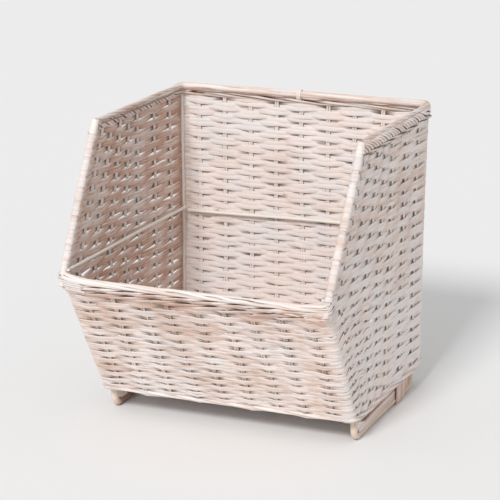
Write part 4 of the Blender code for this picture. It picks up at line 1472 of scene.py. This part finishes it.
# Rattan finishes: white, grey, tan and brown, and how much paint is missing
FINISHES = {
    "whitewashed_rattan": (
        (0.875, 0.79, 0.755), (0.83, 0.785, 0.77), (0.70, 0.52, 0.425), (0.54, 0.30, 0.20), 0.82,
    ),
    "rattan_core": (
        (0.86, 0.79, 0.745), (0.82, 0.77, 0.73), (0.68, 0.52, 0.42), (0.42, 0.30, 0.23), 0.66,
    ),
    "tan_cane": (
        (0.76, 0.62, 0.52), (0.70, 0.56, 0.46), (0.58, 0.37, 0.24), (0.36, 0.21, 0.13), 1.18,
    ),
}
WARM_WHITE = (0.87, 0.735, 0.66)
HOLLOW_SHADE_COLOUR = (0.15, 0.10, 0.075)
CREVICE_SHADE_COLOUR = (0.15, 0.10, 0.078)

# Noises of the rattan: how often they repeat along and around a strand, then the scale, detail
# and roughness of each
STRANDS_APART = 61.0
FIBRE_REPEATS = (45.0, 14.0)
STREAK_REPEATS = (13.0, 4.2)
FIBRE_NOISE = (1.0, 3.0, 0.6)
STREAK_NOISE = (1.0, 2.0, 0.5)
BLOTCH_NOISE = (16.0, 3.0, 0.55)
HUE_NOISE = (42.0, 2.0, 0.5)
WARMTH_NOISE = (11.0, 2.0, 0.5)

# What fibres, streaks, blotches, a strand's tone and its bareness, with the painted light and shade that it
# carries, add to the cover of paint
COVER_SHARES = (0.40, 0.75, 0.85, 0.28, -0.55)
COVER_SPREAD = 0.34
COVER_LIMITS = (0.06, 1.0)

# Ranges of a value, and what they are stretched to where that isn't 0 to 1
TAN_TO_BROWN = (0.15, 1.0)
BROWN_FIBRES = (0.35, 0.75, 0.0, 0.30)
WHITE_TO_GREY = (0.38, 0.64)
WARMER = (0.46, 0.68, 0.0, 0.45)
ENTERING_HOLLOW = (0.0022, 0.0028)
LEAVING_HOLLOW = (0.0032, 0.0042, 1.0, 0.0)
RATTAN_ROUGHNESS = (0.2, 0.8, 0.50, 0.74)
HOLLOW_DARK = 0.8
CREASE_DARK = 0.9
STREAK_HEIGHT = 0.7
RATTAN_BUMP = {"Strength": 0.55, "Distance": 0.0005}
RATTAN_SPECULAR = 0.35


def attribute(tree, name):
    return put(tree, "ShaderNodeAttribute", attribute_name=name).outputs["Fac"]


def rattan_material(name, white, grey, tan, brown, paint):
    """Whitewash brushed over rattan, thin over the fibres, with painted shade in the hollows beside the
    stakes and in the creases.
    """
    material, tree = new_tree(name)
    place = put(tree, "ShaderNodeTexCoord").outputs["Object"]
    # bare carries missing paint together with the painted light and shade laid on the strands
    bare = attribute(tree, "bare")
    fibres_at, tone = strand_vector(tree, *FIBRE_REPEATS)
    streaks_at, _ = strand_vector(tree, *STREAK_REPEATS)
    fibres = noise(tree, fibres_at, *FIBRE_NOISE)
    streaks = noise(tree, streaks_at, *STREAK_NOISE)
    blotches = noise(tree, place, *BLOTCH_NOISE)
    hues = noise(tree, place, *HUE_NOISE)
    warmth = noise(tree, place, *WARMTH_NOISE)
    cover = 0.0
    for value, weight in zip((fibres, streaks, blotches, tone, bare), COVER_SHARES):
        cover = math_node(tree, "ADD", cover, math_node(tree, "MULTIPLY", value, weight))
    cover = stretch(tree, cover, paint - COVER_SPREAD, paint + COVER_SPREAD, *COVER_LIMITS)
    natural = mix_colours(tree, stretch(tree, bare, *TAN_TO_BROWN), rgba(tan), rgba(brown))
    natural = mix_colours(tree, stretch(tree, fibres, *BROWN_FIBRES), natural, rgba(brown))
    painted = mix_colours(tree, stretch(tree, hues, *WHITE_TO_GREY), rgba(white), rgba(grey))
    painted = mix_colours(tree, stretch(tree, warmth, *WARMER), painted, rgba(WARM_WHITE))
    colour = mix_colours(tree, cover, natural, painted)
    # Painted shade in the hollows beside the stakes
    groove = attribute(tree, "groove")
    entering = stretch(tree, groove, *ENTERING_HOLLOW)
    hollow_shade = math_node(tree, "MULTIPLY", entering, stretch(tree, groove, *LEAVING_HOLLOW))
    hollow_shade = math_node(tree, "MULTIPLY", hollow_shade, HOLLOW_DARK)
    colour = mix_colours(tree, hollow_shade, colour, rgba(HOLLOW_SHADE_COLOUR))
    # Painted shade in the creases
    crease = math_node(tree, "MULTIPLY", attribute(tree, "crease"), CREASE_DARK, True)
    colour = mix_colours(tree, crease, colour, rgba(CREVICE_SHADE_COLOUR))
    height = math_node(tree, "ADD", math_node(tree, "MULTIPLY", streaks, STREAK_HEIGHT), fibres)
    bump = put(tree, "ShaderNodeBump", {"Height": height, **RATTAN_BUMP}).outputs[0]
    rough = stretch(tree, fibres, *RATTAN_ROUGHNESS)
    return surface(
        material, tree, Base_Color=colour, Roughness=rough, Normal=bump, Specular_IOR_Level=RATTAN_SPECULAR
    )


# Paint on the wires and the floor: two shades that a noise mixes, and the chips in the paint
WIRE_SHADES = ((0.87, 0.83, 0.765), (0.81, 0.765, 0.70))
WIRE_NOISE = (60.0, 3.0, 0.6)
CHIP_COLOUR = (0.30, 0.22, 0.16)
CHIP_NOISE = (420.0, 2.0, 0.5)
CHIPPED = (0.68, 0.74, 0.0, 0.7)
PEEL_NOISE = (900.0, 2.0, 0.5)
PEEL_BUMP = {"Strength": 0.3, "Distance": 0.0003}
WIRE_ROUGHNESS = (0.2, 0.8, 0.30, 0.48)
FLOOR_SHADES = ((0.846, 0.848, 0.851), (0.850, 0.852, 0.855))
FLOOR_NOISE = (3.0, 2.0, 0.5)
FLOOR_ROUGHNESS = 0.9
FLOOR_SPECULAR = 0.1


def wire_material():
    """Off-white paint on steel wire, with small chips and a faint orange peel."""
    material, tree = new_tree("painted_wire_finish")
    place = put(tree, "ShaderNodeTexCoord").outputs["Object"]
    clouds = noise(tree, place, *WIRE_NOISE)
    colour = mix_colours(tree, clouds, *map(rgba, WIRE_SHADES))
    chipped = stretch(tree, noise(tree, place, *CHIP_NOISE), *CHIPPED)
    colour = mix_colours(tree, chipped, colour, rgba(CHIP_COLOUR))
    peel = noise(tree, place, *PEEL_NOISE)
    bump = put(tree, "ShaderNodeBump", {"Height": peel, **PEEL_BUMP}).outputs[0]
    rough = stretch(tree, clouds, *WIRE_ROUGHNESS)
    return surface(material, tree, Base_Color=colour, Roughness=rough, Normal=bump)


def floor_material():
    material, tree = new_tree("pale_floor")
    place = put(tree, "ShaderNodeTexCoord").outputs["Object"]
    colour = mix_colours(tree, noise(tree, place, *FLOOR_NOISE), *map(rgba, FLOOR_SHADES))
    return surface(
        material, tree, Base_Color=colour, Roughness=FLOOR_ROUGHNESS, Specular_IOR_Level=FLOOR_SPECULAR
    )


# Camera, light and floor
CAMERA_AZIMUTH = 22.45
CAMERA_ELEVATION = 16.02
CAMERA_DISTANCE = 2.5375
AIM_DEPTH = 0.1225
AIM_HEIGHT = 0.140
PHOTO_SIDE = 500
FOCAL_PIXELS = 1958
PRINCIPAL_SHIFT = (17.3, 19.5)
SENSOR = 36.0


def place_camera():
    data = bpy.data.cameras.new("photo_camera")
    data.sensor_width = SENSOR
    data.lens = FOCAL_PIXELS / PHOTO_SIDE * SENSOR
    data.shift_x = -PRINCIPAL_SHIFT[0] / PHOTO_SIDE
    data.shift_y = PRINCIPAL_SHIFT[1] / PHOTO_SIDE
    camera = bpy.data.objects.new("photo_camera", data)
    bpy.context.scene.collection.objects.link(camera)
    turn, rise = math.radians(CAMERA_AZIMUTH), math.radians(CAMERA_ELEVATION)
    back = Vector((math.sin(turn) * math.cos(rise), -math.cos(turn) * math.cos(rise), math.sin(rise)))
    aim = Vector((0.0, BACK_Y - AIM_DEPTH, BASE_Z + AIM_HEIGHT))
    camera.location = aim + back * CAMERA_DISTANCE
    camera.rotation_euler = (-back).to_track_quat("-Z", "Y").to_euler()
    bpy.context.scene.camera = camera


FLOOR_SIZE = 40.0
FILL_COLOUR = (1.0, 0.995, 0.99)
FILL_FROM = (0.0, -0.45, 0.893)
FILL_BEHIND = 0.30
FILL_AHEAD = 0.70
KEY_ENERGY = 1.94
KEY_ANGLE = 13.0
KEY_TOWARDS = (-0.0246, -0.788, 0.6156)


def place_light():
    world = bpy.data.worlds.new("studio")
    world.use_nodes = True
    tree = world.node_tree
    ground = tree.nodes["Background"]
    ground.inputs[0].default_value = rgba(FILL_COLOUR)
    place = put(tree, "ShaderNodeTexCoord").outputs["Generated"]
    ahead = put(tree, "ShaderNodeVectorMath", {0: place, 1: FILL_FROM}, operation="DOT_PRODUCT")
    inputs = {0: ahead.outputs["Value"], 1: -1.0, 2: 1.0, 3: FILL_BEHIND, 4: FILL_AHEAD}
    fill = put(tree, "ShaderNodeMapRange", inputs)
    tree.links.new(fill.outputs[0], ground.inputs[1])
    bpy.context.scene.world = world
    data = bpy.data.lights.new("key", "SUN")
    data.energy = KEY_ENERGY
    data.angle = math.radians(KEY_ANGLE)
    key = bpy.data.objects.new("key", data)
    bpy.context.scene.collection.objects.link(key)
    key.rotation_euler = Vector(KEY_TOWARDS).to_track_quat("Z", "Y").to_euler()


def place_floor():
    bpy.ops.mesh.primitive_plane_add(size=FLOOR_SIZE, location=(0, 0, 0))
    floor = bpy.context.object
    floor.name = "floor"
    floor.data.materials.append(floor_material())


def paint_wires(material):
    """The finish of the CAD's own wires."""
    for name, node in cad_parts.items():
        if "wire" in name:
            node.data.materials.clear()
            node.data.materials.append(material)
            node.data.shade_smooth()


def nodes_of(*starts):
    return [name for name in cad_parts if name.startswith(starts)]


def main():
    bpy.context.scene.view_settings.view_transform = "Standard"
    place_camera()
    place_light()
    place_floor()
    materials = {slot: rattan_material(f"{slot}_finish", *looks) for slot, looks in FINISHES.items()}
    materials["painted_wire"] = wire_material()
    paint_wires(materials["painted_wire"])

    def make(name, replaced, slot, *layers):
        """A piece from its layers, each a function and the rest of its arguments."""
        strands = Strands()
        for lay, *rest in layers:
            lay(strands, *rest)
        strands.build(name, materials[slot], replaced)

    weave = "whitewashed_rattan"
    near_base, near_lip = range(ROWS_NEAR_BASE), range(ROWS_NEAR_BASE, len(LOWER_ROWS))
    make("rows_near_base", ["weave_front"], weave, (lay_lower_rows, near_base))
    make("rows_below_lip", ["weave_left", "weave_right"], weave, (lay_lower_rows, near_lip))
    make("rows_above_lip", ["weave_back"], weave, (lay_upper_rows,), (lay_edge_wraps,))
    make("rows_of_base", ["weave_base"], weave, (lay_base_rows,), (lay_foot_rope,))
    make("stake_cores", nodes_of("stake_"), "rattan_core", (lay_stakes,))
    rims = ["rim_border_back", "rim_border_left", "rim_border_right"]
    make("rolled_rims", rims, weave, (lay_rims,))
    make("lip_strands", ["lip_border"], weave, (lay_lip,))
    inside = nodes_of("lip_level_wire", "upright_wire")
    make("inside_wires", inside, "painted_wire", (lay_inside_wires,))
    for sign, label in ((-1, "left"), (1, "right")):
        make(f"cane_runner_{label}", [f"runner_{label}"], "tan_cane", (lay_runner, sign))
        at_feet = (lay_lashing, lay_braces, lay_run_strands, lay_shaded_edge_strands)
        layers = [(lay, sign) for lay in at_feet]
        make(f"lashing_loops_{label}", [f"lashing_{label}"], weave, *layers)


main()
